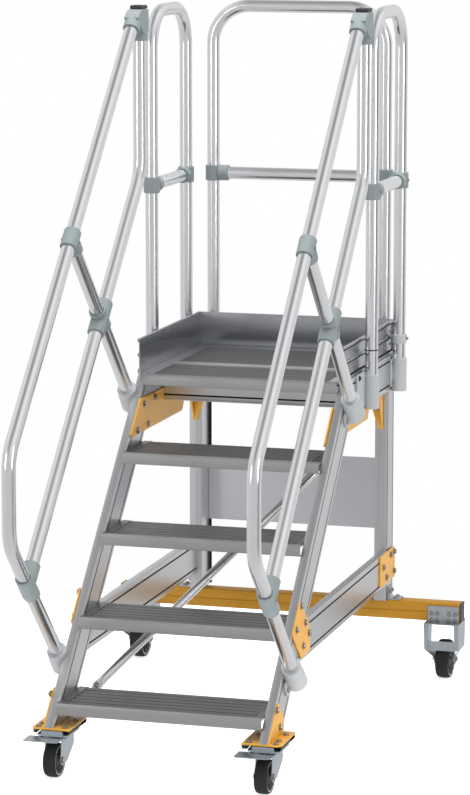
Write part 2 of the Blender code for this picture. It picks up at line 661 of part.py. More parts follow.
def build_front_castor(word, side, looks, root):
    foot_bottom = FOOT_TOP - FOOT_THICKNESS
    foot_front = on_slope_at_z(-STRINGER_SETBACK, FOOT_TOP).x - FOOT_AHEAD_OF_STRINGER
    plate_x = side * ((INNER_X + OUTER_X) / 2 - FOOT_PLATE_INBOARD)
    castor_x = plate_x + CASTOR_SHIFT
    near, far = plate_x - FOOT_WIDTH / 2, plate_x + FOOT_WIDTH / 2
    back = foot_front + FOOT_LENGTH
    corner = (near, foot_front, foot_bottom)
    plate = block("foot_plate_" + word, corner, (far, back, FOOT_TOP), looks["yellow"], root)
    root_z = FOOT_TOP - FOOT_THICKNESS / 2
    toe = on_slope_at_z(-STRINGER_SETBACK, root_z)
    crown = on_slope_at_z(-STRINGER_SETBACK, FOOT_TOP + LUG_HEIGHT)
    lug = [(toe.x + LUG_FRONT_INSET, root_z), tuple(crown)]
    lug.append((crown.x + LUG_TOP_EDGE[0], crown.y + LUG_TOP_EDGE[1]))
    lug += [(back - inset, FOOT_TOP + height) for inset, height in LUG_BACK_EDGE]
    lug.append((back - LUG_BACK_INSET, root_z))
    low, high = side * (OUTER_X + GAP), side * (OUTER_X + GAP + FOOT_THICKNESS)
    helper = prism("foot_lug_helper_" + word, lug, along_x, low, high, looks["yellow"], root)
    combine(plate, [helper], "UNION")

    axle_y = foot_front + FRONT_AXLE_BEHIND_FOOT
    head_top = foot_bottom - PAD_THICKNESS
    head_bottom = head_top - HEAD_THICKNESS
    fork_top = head_bottom - RACE_HEIGHT - GAP
    swivel = empty("front_swivel_" + word, (castor_x, axle_y + SWIVEL_OFFSET, fork_top), root)
    axle_drop = FRONT_WHEEL_RADIUS - fork_top
    zinc = looks["zinc"]

    front = foot_front - swivel.location.y - HEAD_AHEAD_OF_FOOT
    half = HEAD_WIDTH / 2
    rise = GAP + RACE_HEIGHT
    low, high = (-half, front, rise), (half, front + HEAD_LENGTH, rise + HEAD_THICKNESS)
    head = block("front_castor_head_" + word, low, high, zinc, swivel)
    race_top = (0, 0, rise + FUSED)
    race = rod("race_helper_" + word, (0, 0, GAP), race_top, RACE_RADIUS, RACE_SIDES, zinc, swivel)
    flange_top = rise + HEAD_THICKNESS + FLANGE_HEIGHT
    low, high = (-FLANGE_HALF_WIDTH, front, rise), (FLANGE_HALF_WIDTH, front + SHEET, flange_top)
    flange = block("flange_helper_" + word, low, high, zinc, swivel)
    combine(head, [race, flange], "UNION")

    ahead = -SWIVEL_OFFSET
    plate_half = FRONT_WHEEL_WIDTH / 2 + FORK_BESIDE_WHEEL
    heights = [axle_drop + rise for rise, _, _ in FORK_STATIONS] + [0.0]
    outer = [(plate_half, z) for z in heights]
    inner = [(plate_half - SHEET, z) for z in heights[:3]] + [(plate_half - SHEET, -SHEET)]
    widths = [(ahead - before, ahead + behind) for _, before, behind in FORK_STATIONS]
    widths.append((ahead - FORK_CROWN_REACH[0], ahead + FORK_CROWN_REACH[1]))
    fork = folded_sheet("front_castor_fork_" + word, outer, inner, widths, zinc, swivel)
    reach = plate_half + NUT_REACH
    ends = ((-reach, ahead, axle_drop), (reach, ahead, axle_drop))
    name = "front_axle_helper_" + word
    axle = rod(name, ends[0], ends[1], AXLE_RADIUS, AXLE_SIDES, zinc, swivel)
    combine(fork, [axle], "UNION")

    spin = empty("front_axle_" + word, (0, ahead, axle_drop), swivel)
    hub_half = FRONT_WHEEL_WIDTH / 2 + FRONT_HUB_BESIDE_WHEEL
    wheel("front_wheel_" + word, FRONT_WHEEL_RADIUS, FRONT_WHEEL_WIDTH, hub_half, looks, spin)
    build_pedal(word, ahead, looks, swivel)


def build_pedal(word, ahead, looks, swivel):
    """The brake pedal: a sheet with a turned-down edge along its hinge, which clears the fork's top."""
    height = PEDAL_ABOVE_FORK + GAP + PEDAL_HALF
    hinge = empty("pedal_hinge_" + word, (0, ahead - PEDAL_BEFORE_AXLE, height), swivel)
    outline = [
        (PEDAL_HALF, -PEDAL_HALF),
        (PEDAL_HALF, PEDAL_HALF),
        (PEDAL_HALF - PEDAL_LENGTH, PEDAL_HALF),
        (PEDAL_HALF - PEDAL_LENGTH, PEDAL_HALF - SHEET),
        (-PEDAL_HALF, PEDAL_HALF - SHEET),
        (-PEDAL_HALF, -PEDAL_HALF),
    ]
    low, high = -PEDAL_LEFT, PEDAL_WIDTH - PEDAL_LEFT
    prism("brake_pedal_" + word, outline, along_x, low, high, looks["zinc"], hinge)


def build_rear_castor(word, side, looks, root):
    x = side * (STABILISER_LENGTH / 2 - REAR_CASTOR_INBOARD)
    axle_y = STABILISER_FRONT + REAR_AXLE_BEHIND_BEAM
    axle = empty("rear_axle_" + word, (x, axle_y, REAR_WHEEL_RADIUS), root)
    top = STABILISER_BOTTOM - GAP - REAR_WHEEL_RADIUS
    wide, narrow = BRACKET_HALF_WIDTH, BRACKET_TIP_HALF_WIDTH
    reaches = (narrow, narrow, wide)
    outer = [(out, rise) for out, (rise, _, _) in zip(reaches, BRACKET_STATIONS)] + [(wide, top)]
    inner = [(out - SHEET, rise) for out, rise in outer[:3]] + [(wide - SHEET, top - SHEET)]
    widths = [(-before, behind) for _, before, behind in BRACKET_STATIONS]
    widths.append((-BRACKET_LEDGE_REACH[0], BRACKET_LEDGE_REACH[1]))
    zinc = looks["zinc"]
    bracket = folded_sheet("rear_castor_bracket_" + word, outer, inner, widths, zinc, axle)
    plate_back = -REAR_AXLE_BEHIND_BEAM - GAP
    half = wide - FACE_PLATE_INSET
    low = (-half, plate_back - SHEET, top - FUSED)
    plate_top = top + FACE_PLATE_HEIGHT - FACE_PLATE_BELOW_TOP
    face = block("face_helper_" + word, low, (half, plate_back, plate_top), zinc, axle)
    half = wide - SHEET / 2
    low, high = (-half, WEB_FRONT, WEB_HEIGHTS[0]), (half, WEB_FRONT + SHEET, WEB_HEIGHTS[1])
    web = block("web_helper_" + word, low, high, zinc, axle)
    reach = narrow + REAR_NUT_REACH
    name = "rear_axle_helper_" + word
    pin = rod(name, (-reach, 0, 0), (reach, 0, 0), AXLE_RADIUS, AXLE_SIDES, zinc, axle)
    combine(bracket, [face, web, pin], "UNION")
    hub_half = narrow - SHEET - REAR_HUB_CLEARANCE
    wheel("rear_wheel_" + word, REAR_WHEEL_RADIUS, REAR_WHEEL_WIDTH, hub_half, looks, axle)


def main():
    cleared_scene()
    looks = {
        "aluminium": material("aluminium", (0.62, 0.63, 0.64), 0.38, 1.0),
        "tube": material("tube", (0.74, 0.74, 0.74), 0.22, 1.0),
        "tread": material("tread", (0.30, 0.30, 0.31), 0.45, 1.0),
        "connector": material("connector", (0.27, 0.30, 0.29), 0.55),
        "yellow": material("yellow", (0.86, 0.53, 0.06), 0.45),
        "ochre": material("ochre", (0.62, 0.42, 0.12), 0.45),
        "zinc": material("zinc", (0.55, 0.58, 0.62), 0.32, 1.0),
        "rim": material("rim", (0.16, 0.16, 0.17), 0.50),
        "rubber": material("rubber", (0.03, 0.03, 0.03), 0.70),
    }
    root = empty("stair", (0, -MIDDLE_Y, 0))
    build_stringers(looks, root)
    build_treads_and_deck(looks, root)
    build_platform_frame(looks, root)
    build_toe_boards(looks, root)
    build_rear_frame(looks, root)
    build_diagonal_brace(looks, root)
    build_handrails(looks, root)
    build_guards(looks, root)
    for word, side in SIDES:
        build_front_castor(word, side, looks, root)
        build_rear_castor(word, side, looks, root)


main()
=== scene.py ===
# %% [markdown]
# # A mobile platform stair
# This lesson dresses a mobile platform stair: four treads, a guarded platform and four castors.
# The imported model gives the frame, with every body and joint, and each piece here rides on one of
# its bodies. Most pieces stand for a plain solid of the frame and repeat its size, with the
# grooves, ribs, folds and rounded edges that the plain solid leaves out.

# %% The frame
import math

import bmesh
import bpy
import numpy as np
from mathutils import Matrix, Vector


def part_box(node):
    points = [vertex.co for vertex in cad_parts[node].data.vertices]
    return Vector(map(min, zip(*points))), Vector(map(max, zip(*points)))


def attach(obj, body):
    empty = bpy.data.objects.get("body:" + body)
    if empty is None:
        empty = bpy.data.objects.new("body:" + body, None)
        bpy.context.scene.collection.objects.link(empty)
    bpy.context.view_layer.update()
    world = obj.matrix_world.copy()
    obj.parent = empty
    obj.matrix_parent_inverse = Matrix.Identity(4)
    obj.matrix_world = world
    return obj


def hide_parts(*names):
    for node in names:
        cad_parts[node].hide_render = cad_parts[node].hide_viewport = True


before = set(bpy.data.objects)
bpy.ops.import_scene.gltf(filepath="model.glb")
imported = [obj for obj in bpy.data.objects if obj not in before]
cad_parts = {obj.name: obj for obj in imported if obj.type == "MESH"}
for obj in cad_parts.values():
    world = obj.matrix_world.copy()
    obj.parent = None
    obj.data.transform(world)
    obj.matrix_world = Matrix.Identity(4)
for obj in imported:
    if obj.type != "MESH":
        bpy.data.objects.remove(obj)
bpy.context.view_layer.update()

# %% [markdown]
# Many sizes are read from the frame's boxes; the others are given as numbers, many of them details
# that the frame doesn't have. Lengths along Y are counted from the nose of the lowest tread, as a maker
# would measure the stair, and are moved to the frame's own origin when a mesh is made.

# %% Sizes from the frame
NOSE_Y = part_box("tread_1")[0][1]


def node_box(node):
    """Lowest and highest corner of a frame node, with Y counted from the lowest tread's nose."""
    low, high = (np.array(corner, float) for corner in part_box(node))
    return low - (0, NOSE_Y, 0), high - (0, NOSE_Y, 0)


TREAD_HIGH = node_box("tread_1")[1]
SECOND_HIGH = node_box("tread_2")[1]
RUN, RISE = SECOND_HIGH[1] - TREAD_HIGH[1], SECOND_HIGH[2] - TREAD_HIGH[2]
TREAD_HALF = TREAD_HIGH[0]
BEAM_LOW, BEAM_HIGH = node_box("platform_side_beam_right")
INNER_X, OUTER_X = BEAM_LOW[0], BEAM_HIGH[0]
BEAM_BOTTOM, PLATFORM_TOP, PLATFORM_END = BEAM_LOW[2], BEAM_HIGH[2], BEAM_HIGH[1]
DEPTH = PLATFORM_TOP - BEAM_BOTTOM
WIDTH = OUTER_X - INNER_X
LIP_Y = node_box("platform_front_tread")[0][1]
GUARD_LOW, GUARD_HIGH = node_box("guard_loop_right")
RAIL_X = (GUARD_LOW[0] + GUARD_HIGH[0]) / 2
TUBE = (GUARD_HIGH[0] - GUARD_LOW[0]) / 2
POST_LOW, POST_HIGH = node_box("rear_post_right")
STABILISER_LOW, STABILISER_HIGH = node_box("rear_stabiliser_beam")
FOOT_TOP = node_box("stringer_right")[0][2]
SETBACK = 0.0284
GAP = 0.0003
LENGTH = math.hypot(RUN, RISE)
SLOPE = np.array((RUN, RISE)) / LENGTH
LIFT = np.array((-SLOPE[1], SLOPE[0]))
NOSE = np.array((0.0, TREAD_HIGH[2]))
SIDES = (("left", -1), ("right", 1))
print(f"rise {RISE:.3f}, run {RUN:.3f}, platform at {PLATFORM_TOP:.3f} m")


# %% [markdown]
# ## Points on the stair
# Nearly everything lies in the upright plane of one side of the stair, so places there are given
# by how far they are up the line of noses and how far they stand out from it.

# %% Points in the plane of a side
def slope_point(along, lift):
    """The point this far up the nosing line and this far out from it, as (y, z)."""
    return NOSE + SLOPE * along + LIFT * lift


def slope_at_z(lift, z):
    """Where the line parallel to the noses, this far out, reaches the height z."""
    base = slope_point(0, lift)
    return base + SLOPE * (z - base[1]) / SLOPE[1]


def slope_at_y(lift, y):
    """Where that line passes over y."""
    base = slope_point(0, lift)
    return base + SLOPE * (y - base[0]) / SLOPE[0]


def square_at_y(along, y):
    """Where the line square to the noses, this far along them, passes over y."""
    base = slope_point(along, 0)
    return base + LIFT * (y - base[0]) / LIFT[0]


def at_x(x, points):
    """(y, z) points as 3-D points in the plane of this x."""
    points = np.atleast_2d(points)
    return np.column_stack([np.full(len(points), x), points])


# %% [markdown]
# ## Surfaces as arrays
# A closed shape is a stack of rings of points. numpy works out all rings at once, and one function
# joins each ring to the next with quads and closes both ends.

# %% Rings of points into faces
def ring_faces(rings, count, wrap=False):
    """Quads between neighbouring rings of count points; ends get one face each, unless the stack wraps."""
    rows = np.arange(rings if wrap else rings - 1)[:, None] * count
    after = (rows + count) % (rings * count)
    column = np.arange(count)[None, :]
    beside = (column + 1) % count
    quads = np.stack([rows + column, rows + beside, after + beside, after + column], axis=-1)
    faces = quads.reshape(-1, 4).tolist()
    if not wrap:
        faces.append(list(range(count))[::-1])
        faces.append(list(range((rings - 1) * count, rings * count)))
    return faces


def stack(rings, wrap=False):
    """Rings, as an array of (ring, point, 3), made one closed shape."""
    rings = np.asarray(rings, float)
    return rings.reshape(-1, 3), ring_faces(rings.shape[0], rings.shape[1], wrap)


def carried(outline, start, end):
    """An outline of (across, up) carried from one frame to another; a frame is (origin, across, up)."""
    outline = np.asarray(outline, float)
    rings = []
    for origin, across, up in (start, end):
        ring = np.asarray(origin) + outline[:, :1] * np.asarray(across)
        rings.append(ring + outline[:, 1:] * np.asarray(up))
    return stack(rings)


def plate(outline, axis, low, high):
    """A flat outline with straight sides, carried along X, Y or Z from low to high."""
    order = {"x": (1, 2, 0), "y": (0, 2, 1), "z": (0, 1, 2)}[axis]
    outline = np.asarray(outline, float)
    rings = np.empty((2, len(outline), 3))
    rings[:, :, order[0]] = outline[:, 0]
    rings[:, :, order[1]] = outline[:, 1]
    rings[:, :, order[2]] = np.array((low, high))[:, None]
    return stack(rings)


def box(low, high):
    (x0, y0, z0), (x1, y1, z1) = low, high
    return plate([(x0, y0), (x1, y0), (x1, y1), (x0, y1)], "z", z0, z1)


# %% [markdown]
# Outlines of real sheet and moulded parts have round corners, and a tube bends on a radius. Both
# are the same sum: cut the corner back by radius x tan(half the turn) and put an arc there.

# %% Rounded corners and bends
def rounded(corners, radius, steps=4, closed=True):
    """Each corner replaced by an arc: centre on the bisector, swept from one side's normal to the next."""
    corners = np.asarray(corners, float)
    radii = np.broadcast_to(radius, len(corners))
    count = len(corners)
    out = []
    for i in range(count):
        here = corners[i]
        if not closed and i in (0, count - 1) or radii[i] == 0:
            out.append(here)
            continue
        arriving = here - corners[i - 1]
        leaving = corners[(i + 1) % count] - here
        arriving, leaving = arriving / np.linalg.norm(arriving), leaving / np.linalg.norm(leaving)
        turn = math.acos(np.clip(arriving @ leaving, -1, 1))
        start = here - arriving * radii[i] * math.tan(turn / 2)
        inward = leaving - arriving * math.cos(turn)
        inward = inward / np.linalg.norm(inward)
        angles = np.linspace(0, turn, steps + 1)[:, None]
        out.extend(start + radii[i] * (np.sin(angles) * arriving + (1 - np.cos(angles)) * inward))
    return np.array(out)


def pipe(path, radius, across, segments=28):
    """A round bar: at each point of a flat path, a circle square to the path. across is the flat's normal."""
    path, across = np.asarray(path, float), np.asarray(across, float)
    heading = np.gradient(path, axis=0)
    heading /= np.linalg.norm(heading, axis=1, keepdims=True)
    side = np.cross(across, heading)
    angle = np.linspace(0, 2 * np.pi, segments, endpoint=False)
    circle = np.cos(angle)[None, :, None] * side[:, None, :] + np.sin(angle)[None, :, None] * across
    return stack(path[:, None, :] + radius * circle)


def spun(profile, origin, axis, segments=32, wrap=False):
    """A profile of (distance along the axis, radius) turned round it; a wrapped profile is a ring."""
    profile, axis = np.asarray(profile, float), np.asarray(axis, float)
    axis = axis / np.linalg.norm(axis)
    helper = np.array((0.0, 0.0, 1.0)) if abs(axis[2]) < 0.9 else np.array((1.0, 0.0, 0.0))
    side = np.cross(axis, helper)
    side /= np.linalg.norm(side)
    up = np.cross(axis, side)
    angle = np.linspace(0, 2 * np.pi, segments, endpoint=False)
    circle = np.cos(angle)[:, None] * side + np.sin(angle)[:, None] * up
    rings = np.asarray(origin) + profile[:, 0, None, None] * axis + profile[:, 1, None, None] * circle
    return stack(rings, wrap)


def collar(start, end, inner, outer, edge=0.002, segments=32):
    """A short sleeve round a tube, between two points, with chamfered ends."""
    start, end = np.asarray(start, float), np.asarray(end, float)
    length = np.linalg.norm(end - start)
    profile = [(0, inner), (0, outer - edge), (edge, outer), (length - edge, outer)]
    profile += [(length, outer - edge), (length, inner)]
    return spun(profile, start, end - start, segments, wrap=True)


# %% [markdown]
# ## Bolts
# The frame is bolted together. A bolt is a hexagonal head on a round washer, and one function turns
# both: six segments give the head, and more give the washer.

# %% Bolt heads and nuts
def bolt(place, direction, size=0.0075, height=0.006):
    """A chamfered hexagonal head on a washer, standing on a surface."""
    washer = [(0, size * 1.35), (0.0012, size * 1.35), (0.0016, size * 1.28)]
    head = [(0.001, size), (height * 0.8, size), (height, size * 0.82)]
    return [spun(washer, place, direction, 18), spun(head, place, direction, 6)]


def bolts(places, direction, size=0.0075, height=0.006):
    return [shape for place in places for shape in bolt(place, direction, size, height)]


# %% [markdown]
# ## Shader values as Python
# A wrapped socket lets the maths of a material read as an expression: each operator adds one Math
# node. Any other node is added by one method, settings first and sockets after.

# %% A wrapped shader socket
class Value:
    def __init__(self, look, socket):
        self.look, self.socket = look, socket

    def combined(self, operation, first, second=None):
        inputs = {0: first} if second is None else {0: first, 1: second}
        return self.look.node("ShaderNodeMath", {"operation": operation}, inputs)

    def __add__(self, other):
        return self.combined("ADD", self, other)

    def __radd__(self, other):
        return self.combined("ADD", other, self)

    def __sub__(self, other):
        return self.combined("SUBTRACT", self, other)

    def __rsub__(self, other):
        return self.combined("SUBTRACT", other, self)

    def __mul__(self, other):
        return self.combined("MULTIPLY", self, other)

    def __rmul__(self, other):
        return self.combined("MULTIPLY", other, self)


class Look:
    """A material being built round its Principled shader."""

    def __init__(self, name, **sockets):
        self.material = bpy.data.materials.new(name)
        self.material.use_nodes = True
        self.tree = self.material.node_tree
        self.shader = self.tree.nodes["Principled BSDF"]
        for socket, value in sockets.items():
            self.put(socket.replace("_", " "), value)

    def put(self, socket, value):
        entry = self.shader.inputs[socket]
        if isinstance(value, Value):
            self.tree.links.new(value.socket, entry)
        elif isinstance(value, tuple) and len(value) == 3:
            entry.default_value = (*value, 1.0)
        else:
            entry.default_value = value

    def node(self, kind, settings=None, inputs=None, output=0):
        made = self.tree.nodes.new(kind)
        for key, value in (settings or {}).items():
            setattr(made, key, value)
        for key, value in (inputs or {}).items():
            if isinstance(value, Value):
                self.tree.links.new(value.socket, made.inputs[key])
            else:
                made.inputs[key].default_value = value
        return Value(self, made.outputs[output])

    def place(self, turn=(0, 0, 0), scale=(1, 1, 1)):
        """Object coordinates, turned and stretched by a Mapping node."""
        where = self.node("ShaderNodeTexCoord", output="Object")
        settings = {"vector_type": "POINT"}
        return self.node("ShaderNodeMapping", settings, {0: where, "Rotation": turn, "Scale": scale})

    def noise(self, where, scale, detail=3.0, roughness=0.5):
        inputs = {"Vector": where, "Scale": scale, "Detail": detail, "Roughness": roughness}
        return self.node("ShaderNodeTexNoise", None, inputs)

    def mix(self, factor, first, second):
        inputs = {0: factor, 6: (*first, 1.0), 7: (*second, 1.0)}
        return self.node("ShaderNodeMix", {"data_type": "RGBA"}, inputs, output=2)

    def bump(self, height, strength, distance):
        inputs = {"Height": height, "Strength": strength, "Distance": distance}
        self.put("Normal", self.node("ShaderNodeBump", None, inputs))


# %% [markdown]
# ## Finishes
# Extruded aluminium carries faint die lines along its length. A noise stretched hard along the
# extrusion gives them: it shifts the roughness a little and the colour less. The stringers slope,
# so their pattern is turned with them.

# %% Metals
ALONG_X, ALONG_Y, ALONG_Z = (0.4, 60, 60), (60, 0.4, 60), (60, 60, 0.4)
SLOPE_TURN = (-math.atan2(SLOPE[1], SLOPE[0]), 0, 0)


def extruded(name, scale, light, dark, roughness, turn=(0, 0, 0), streak=0.12):
    """Die lines = noise stretched along the bar; roughness and colour follow it."""
    look = Look(name, Metallic=1.0)
    where = look.place(turn, scale)
    lines = look.noise(where, 6.0, 4.0, 0.65)
    cloud = look.noise(look.place(), 3.0, 2.0)
    tone = lines * 0.7 + cloud * 0.3
    look.put("Base Color", look.mix(tone, dark, light))
    look.put("Roughness", roughness - streak / 2 + lines * streak)
    look.bump(lines, 0.12, 0.0004)
    return look.material


def zinc_plate():
    """Zinc shows a cool, faintly patchy grey: two noises of different size."""
    look = Look("zinc plate", Metallic=1.0)
    patches = look.noise(look.place(), 55.0, 3.0)
    look.put("Base Color", look.mix(patches, (0.44, 0.49, 0.53), (0.64, 0.69, 0.73)))
    look.put("Roughness", 0.26 + patches * 0.18)
    look.bump(look.noise(look.place(), 400.0, 2.0), 0.10, 0.0003)
    return look.material


LIGHT = (0.76, 0.765, 0.78)
PROFILE_Y = extruded("profile along y", ALONG_Y, LIGHT, (0.62, 0.625, 0.64), 0.34)
PROFILE_X = extruded("profile along x", ALONG_X, LIGHT, (0.62, 0.625, 0.64), 0.34)
PROFILE_Z = extruded("profile along z", ALONG_Z, LIGHT, (0.62, 0.625, 0.64), 0.36)
PROFILE_SLOPE = extruded("profile up the slope", ALONG_Y, LIGHT, (0.62, 0.625, 0.64), 0.34, SLOPE_TURN)
TREAD_BODY = extruded("tread body", ALONG_X, (0.56, 0.565, 0.565), (0.40, 0.405, 0.405), 0.40)
TOE_SKIN = extruded("toe board", ALONG_Y, (0.50, 0.51, 0.53), (0.38, 0.39, 0.41), 0.26)
TREAD_RIBS = extruded("tread ribs", ALONG_X, (0.33, 0.33, 0.335), (0.19, 0.19, 0.192), 0.36)
POLISHED = extruded("polished tube", (3, 3, 3), (0.91, 0.915, 0.93), (0.86, 0.87, 0.89), 0.23, streak=0.03)
SHEET = extruded("panel sheet", ALONG_X, (0.80, 0.81, 0.84), (0.70, 0.71, 0.74), 0.44)
ZINC = zinc_plate()
STEEL = extruded("bolt steel", (30, 30, 30), (0.50, 0.49, 0.47), (0.32, 0.31, 0.29), 0.28)

# %% [markdown]
# Powder coat is paint with a fine orange-peel skin. Moulded plastic is duller and evenly grained.
# Rubber is nearly black, with scuffs where it is rough.

# %% Coats, plastics and rubber
def coated(name, colour, shade, roughness, grain, depth, coat=0.0, shine=0.5):
    """Colour drifts slowly between two tones; a fine noise raises the skin. Shine is the specular level."""
    look = Look(name, Coat_Weight=coat, Coat_Roughness=0.25, Specular_IOR_Level=shine)
    drift = look.noise(look.place(), 9.0, 2.0)
    look.put("Base Color", look.mix(drift, shade, colour))
    fine = look.noise(look.place(), grain, 2.0)
    look.put("Roughness", roughness - 0.04 + fine * 0.08)
    look.bump(fine, 0.25, depth)
    return look.material


YELLOW = coated("yellow coat", (0.78, 0.40, 0.040), (0.68, 0.33, 0.026), 0.40, 700.0, 0.0003, coat=0.15)
OCHRE = coated("ochre coat", (0.46, 0.225, 0.010), (0.38, 0.175, 0.007), 0.50, 700.0, 0.0003, coat=0.05,
               shine=0.3)
FITTING = coated("grey green fitting", (0.26, 0.30, 0.305), (0.21, 0.25, 0.255), 0.46, 500.0, 0.0004)
SOCKET = coated("light grey socket", (0.47, 0.485, 0.50), (0.40, 0.415, 0.43), 0.50, 500.0, 0.0004)
BLACK = coated("black plastic", (0.035, 0.035, 0.038), (0.02, 0.02, 0.022), 0.45, 500.0, 0.0003)
# Painted shade: a near-black put into grooves, gaps and corners of the frame where shade falls.
SHADE_BLACK = coated("painted shade black", (0.022, 0.022, 0.024), (0.012, 0.012, 0.013), 0.85, 350.0, 0.0003, shine=0.08)
RUBBER = coated("tyre rubber", (0.020, 0.020, 0.020), (0.011, 0.011, 0.011), 0.68, 350.0, 0.0006, shine=0.25)
RIM = coated("dark rim", (0.07, 0.07, 0.075), (0.045, 0.045, 0.05), 0.45, 400.0, 0.0003)
RIM_RING = coated("light rim ring", (0.50, 0.51, 0.52), (0.42, 0.43, 0.44), 0.40, 400.0, 0.0003)
print(len(bpy.data.materials), "materials")


# %% [markdown]
# ## Making a piece
# One function turns shapes into an object at the origin: it moves them to the frame, points the
# faces outwards, rounds the sharp edges with a narrow bevel when one is given, hangs the piece on the
# body that carries it and hides the plain solids it stands for.

# %% From shapes to a riding piece
def piece(name, shapes, look, body="stair", stands_for=(), bevel=0.0, smooth=32):
    """One object from closed shapes, named with _skin if it would share a solid's name."""
    points, faces, first = [], [], 0
    for shape_points, shape_faces in shapes:
        points.append(shape_points)
        faces.extend([corner + first for corner in face] for face in shape_faces)
        first += len(shape_points)
    points = np.concatenate(points)
    points[:, 1] += NOSE_Y
    mesh = bpy.data.meshes.new(name)
    mesh.from_pydata(points.tolist(), [], faces)
    bm = bmesh.new()
    bm.from_mesh(mesh)
    bmesh.ops.recalc_face_normals(bm, faces=bm.faces)
    bm.to_mesh(mesh)
    bm.free()
    mesh.shade_smooth()
    mesh.set_sharp_from_angle(angle=math.radians(smooth))
    mesh.materials.append(look)
    made = bpy.data.objects.new(name + "_skin" if name in stands_for else name, mesh)
    bpy.context.scene.collection.objects.link(made)
    if bevel:
        edge = made.modifiers.new("edge", "BEVEL")
        edge.width = bevel
        edge.segments = 2
        edge.limit_method = "ANGLE"
        edge.angle_limit = math.radians(40)
        edge.harden_normals = True
        edge.use_clamp_overlap = True
    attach(made, body)
    if stands_for:
        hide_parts(*stands_for)
    return made


# %% [markdown]
# ## The profile
# Stringers, platform beams and side members are one aluminium profile with a narrow groove in each
# wide face near both edges, and a black strip of painted shade lies in each groove. Its outline is
# drawn once and carried between two end frames; where two bars meet on a mitre, the frame's upward
# arrow leans with the cut.

# %% Grooved profile bars
GROOVE_INSET, GROOVE_WIDTH, GROOVE_DEPTH = 0.0148, 0.0056, 0.0014


def grooved_outline(width, depth):
    """A rectangle with round corners and four notches, as (across, up)."""
    edge = 0.0022
    low, high = GROOVE_INSET, GROOVE_INSET + GROOVE_WIDTH
    notches = [(0, low), (GROOVE_DEPTH, low), (GROOVE_DEPTH, high), (0, high)]
    face = notches + [(across, depth - up) for across, up in reversed(notches)]
    left = [(0, depth)] + [(a, u) for a, u in reversed(face)] + [(0, 0)]
    right = [(width, 0)] + [(width - a, u) for a, u in face] + [(width, depth)]
    radii = [edge] + [0] * 8 + [edge] * 2 + [0] * 8 + [edge]
    return rounded(left + right, radii, steps=3)


def groove_shade_outlines(width, depth):
    """The painted shade of the four grooves: dark strips a little below the faces that they lie in."""
    found = []
    for across in (0.0002, width - GROOVE_DEPTH):
        for up in (GROOVE_INSET, depth - GROOVE_INSET - GROOVE_WIDTH):
            high = across + GROOVE_DEPTH - 0.0002
            found.append([(across, up), (high, up), (high, up + GROOVE_WIDTH), (across, up + GROOVE_WIDTH)])
    return found


def profile_bar(name, start, end, look, width=WIDTH, depth=DEPTH):
    """A grooved bar between two frames, with the painted shade in its grooves as a second piece."""
    piece(name, [carried(grooved_outline(width, depth), start, end)], look, "stair", (name,))
    # Painted shade: a black strip in each groove, where shade falls.
    groove_shades = [carried(outline, start, end) for outline in groove_shade_outlines(width, depth)]
    piece(name + "_seals", groove_shades, SHADE_BLACK)


def side_frame(side, low, high):
    """The frame of a cut in a side's plane, from its lower to its upper corner."""
    up = (np.asarray(high) - np.asarray(low)) / DEPTH
    return (side * INNER_X, *low), (side, 0, 0), (0, *up)


BACK = -SETBACK - DEPTH
MITRE = slope_at_z(BACK, BEAM_BOTTOM), slope_at_z(-SETBACK, PLATFORM_TOP)
MEMBER_LOW, MEMBER_HIGH = node_box("side_member_right")
for word, side in SIDES:
    foot = [slope_at_z(lift, FOOT_TOP) for lift in (BACK, -SETBACK)]
    start, end = side_frame(side, *foot), side_frame(side, *(corner - SLOPE * GAP for corner in MITRE))
    profile_bar("stringer_" + word, start, end, PROFILE_SLOPE)
    start = side_frame(side, *(corner + (GAP, 0) for corner in MITRE))
    end = side_frame(side, (PLATFORM_END, BEAM_BOTTOM), (PLATFORM_END, PLATFORM_TOP))
    profile_bar("platform_side_beam_" + word, start, end, PROFILE_Y)
    cut = [slope_at_z(BACK - GAP, z) for z in (MEMBER_LOW[2], MEMBER_HIGH[2])]
    end = [(MEMBER_HIGH[1], z) for z in (MEMBER_LOW[2], MEMBER_HIGH[2])]
    profile_bar("side_member_" + word, side_frame(side, *cut), side_frame(side, *end), PROFILE_Y)
for name in ("platform_front_beam", "platform_rear_beam"):
    low, high = node_box(name)
    ends = [((x, low[1], low[2]), (0, 1, 0), (0, 0, 1)) for x in (low[0], high[0])]
    profile_bar(name, ends[0], ends[1], PROFILE_X, depth=high[2] - low[2])
print("profile bars done")


# %% [markdown]
# ## Treads and deck
# A tread is a light extrusion with a deep front lip. Its walking surface is darker, with broad bands
# between deep grooves and three fine ridges on each band, so that a shoe grips. The ribbed surface
# is its own shape, laid in the body, and stops short of both ends, where smooth end plates sit.

# %% Ribbed surfaces
RIB_HEIGHT, END_PLATE, RIB_PITCH = 0.0034, 0.0290, 0.0335
RIBBED_HALF = TREAD_HALF - END_PLATE


def ribbed_outline(front, back, top, pitch=RIB_PITCH):
    """Bands from groove to groove as (y, z): each band is flat with three ridges standing on it."""
    count = max(1, round((back - front) / pitch))
    step = (back - front) / count
    groove, ridge = 0.0088, 0.0016
    base, band = top - RIB_HEIGHT, top - ridge
    outline = [(front, base - 0.0006)]
    for start in front + step * np.arange(count):
        outline += [(start + groove / 2, base), (start + groove / 2 + 0.0008, band)]
        for centre in start + groove / 2 + (step - groove) * np.array((0.2, 0.5, 0.8)):
            outline += [(centre - 0.0028, band), (centre - 0.0018, top)]
            outline += [(centre + 0.0018, top), (centre + 0.0028, band)]
        outline += [(start + step - groove / 2 - 0.0008, band), (start + step - groove / 2, base)]
    return outline + [(back, base - 0.0006)]


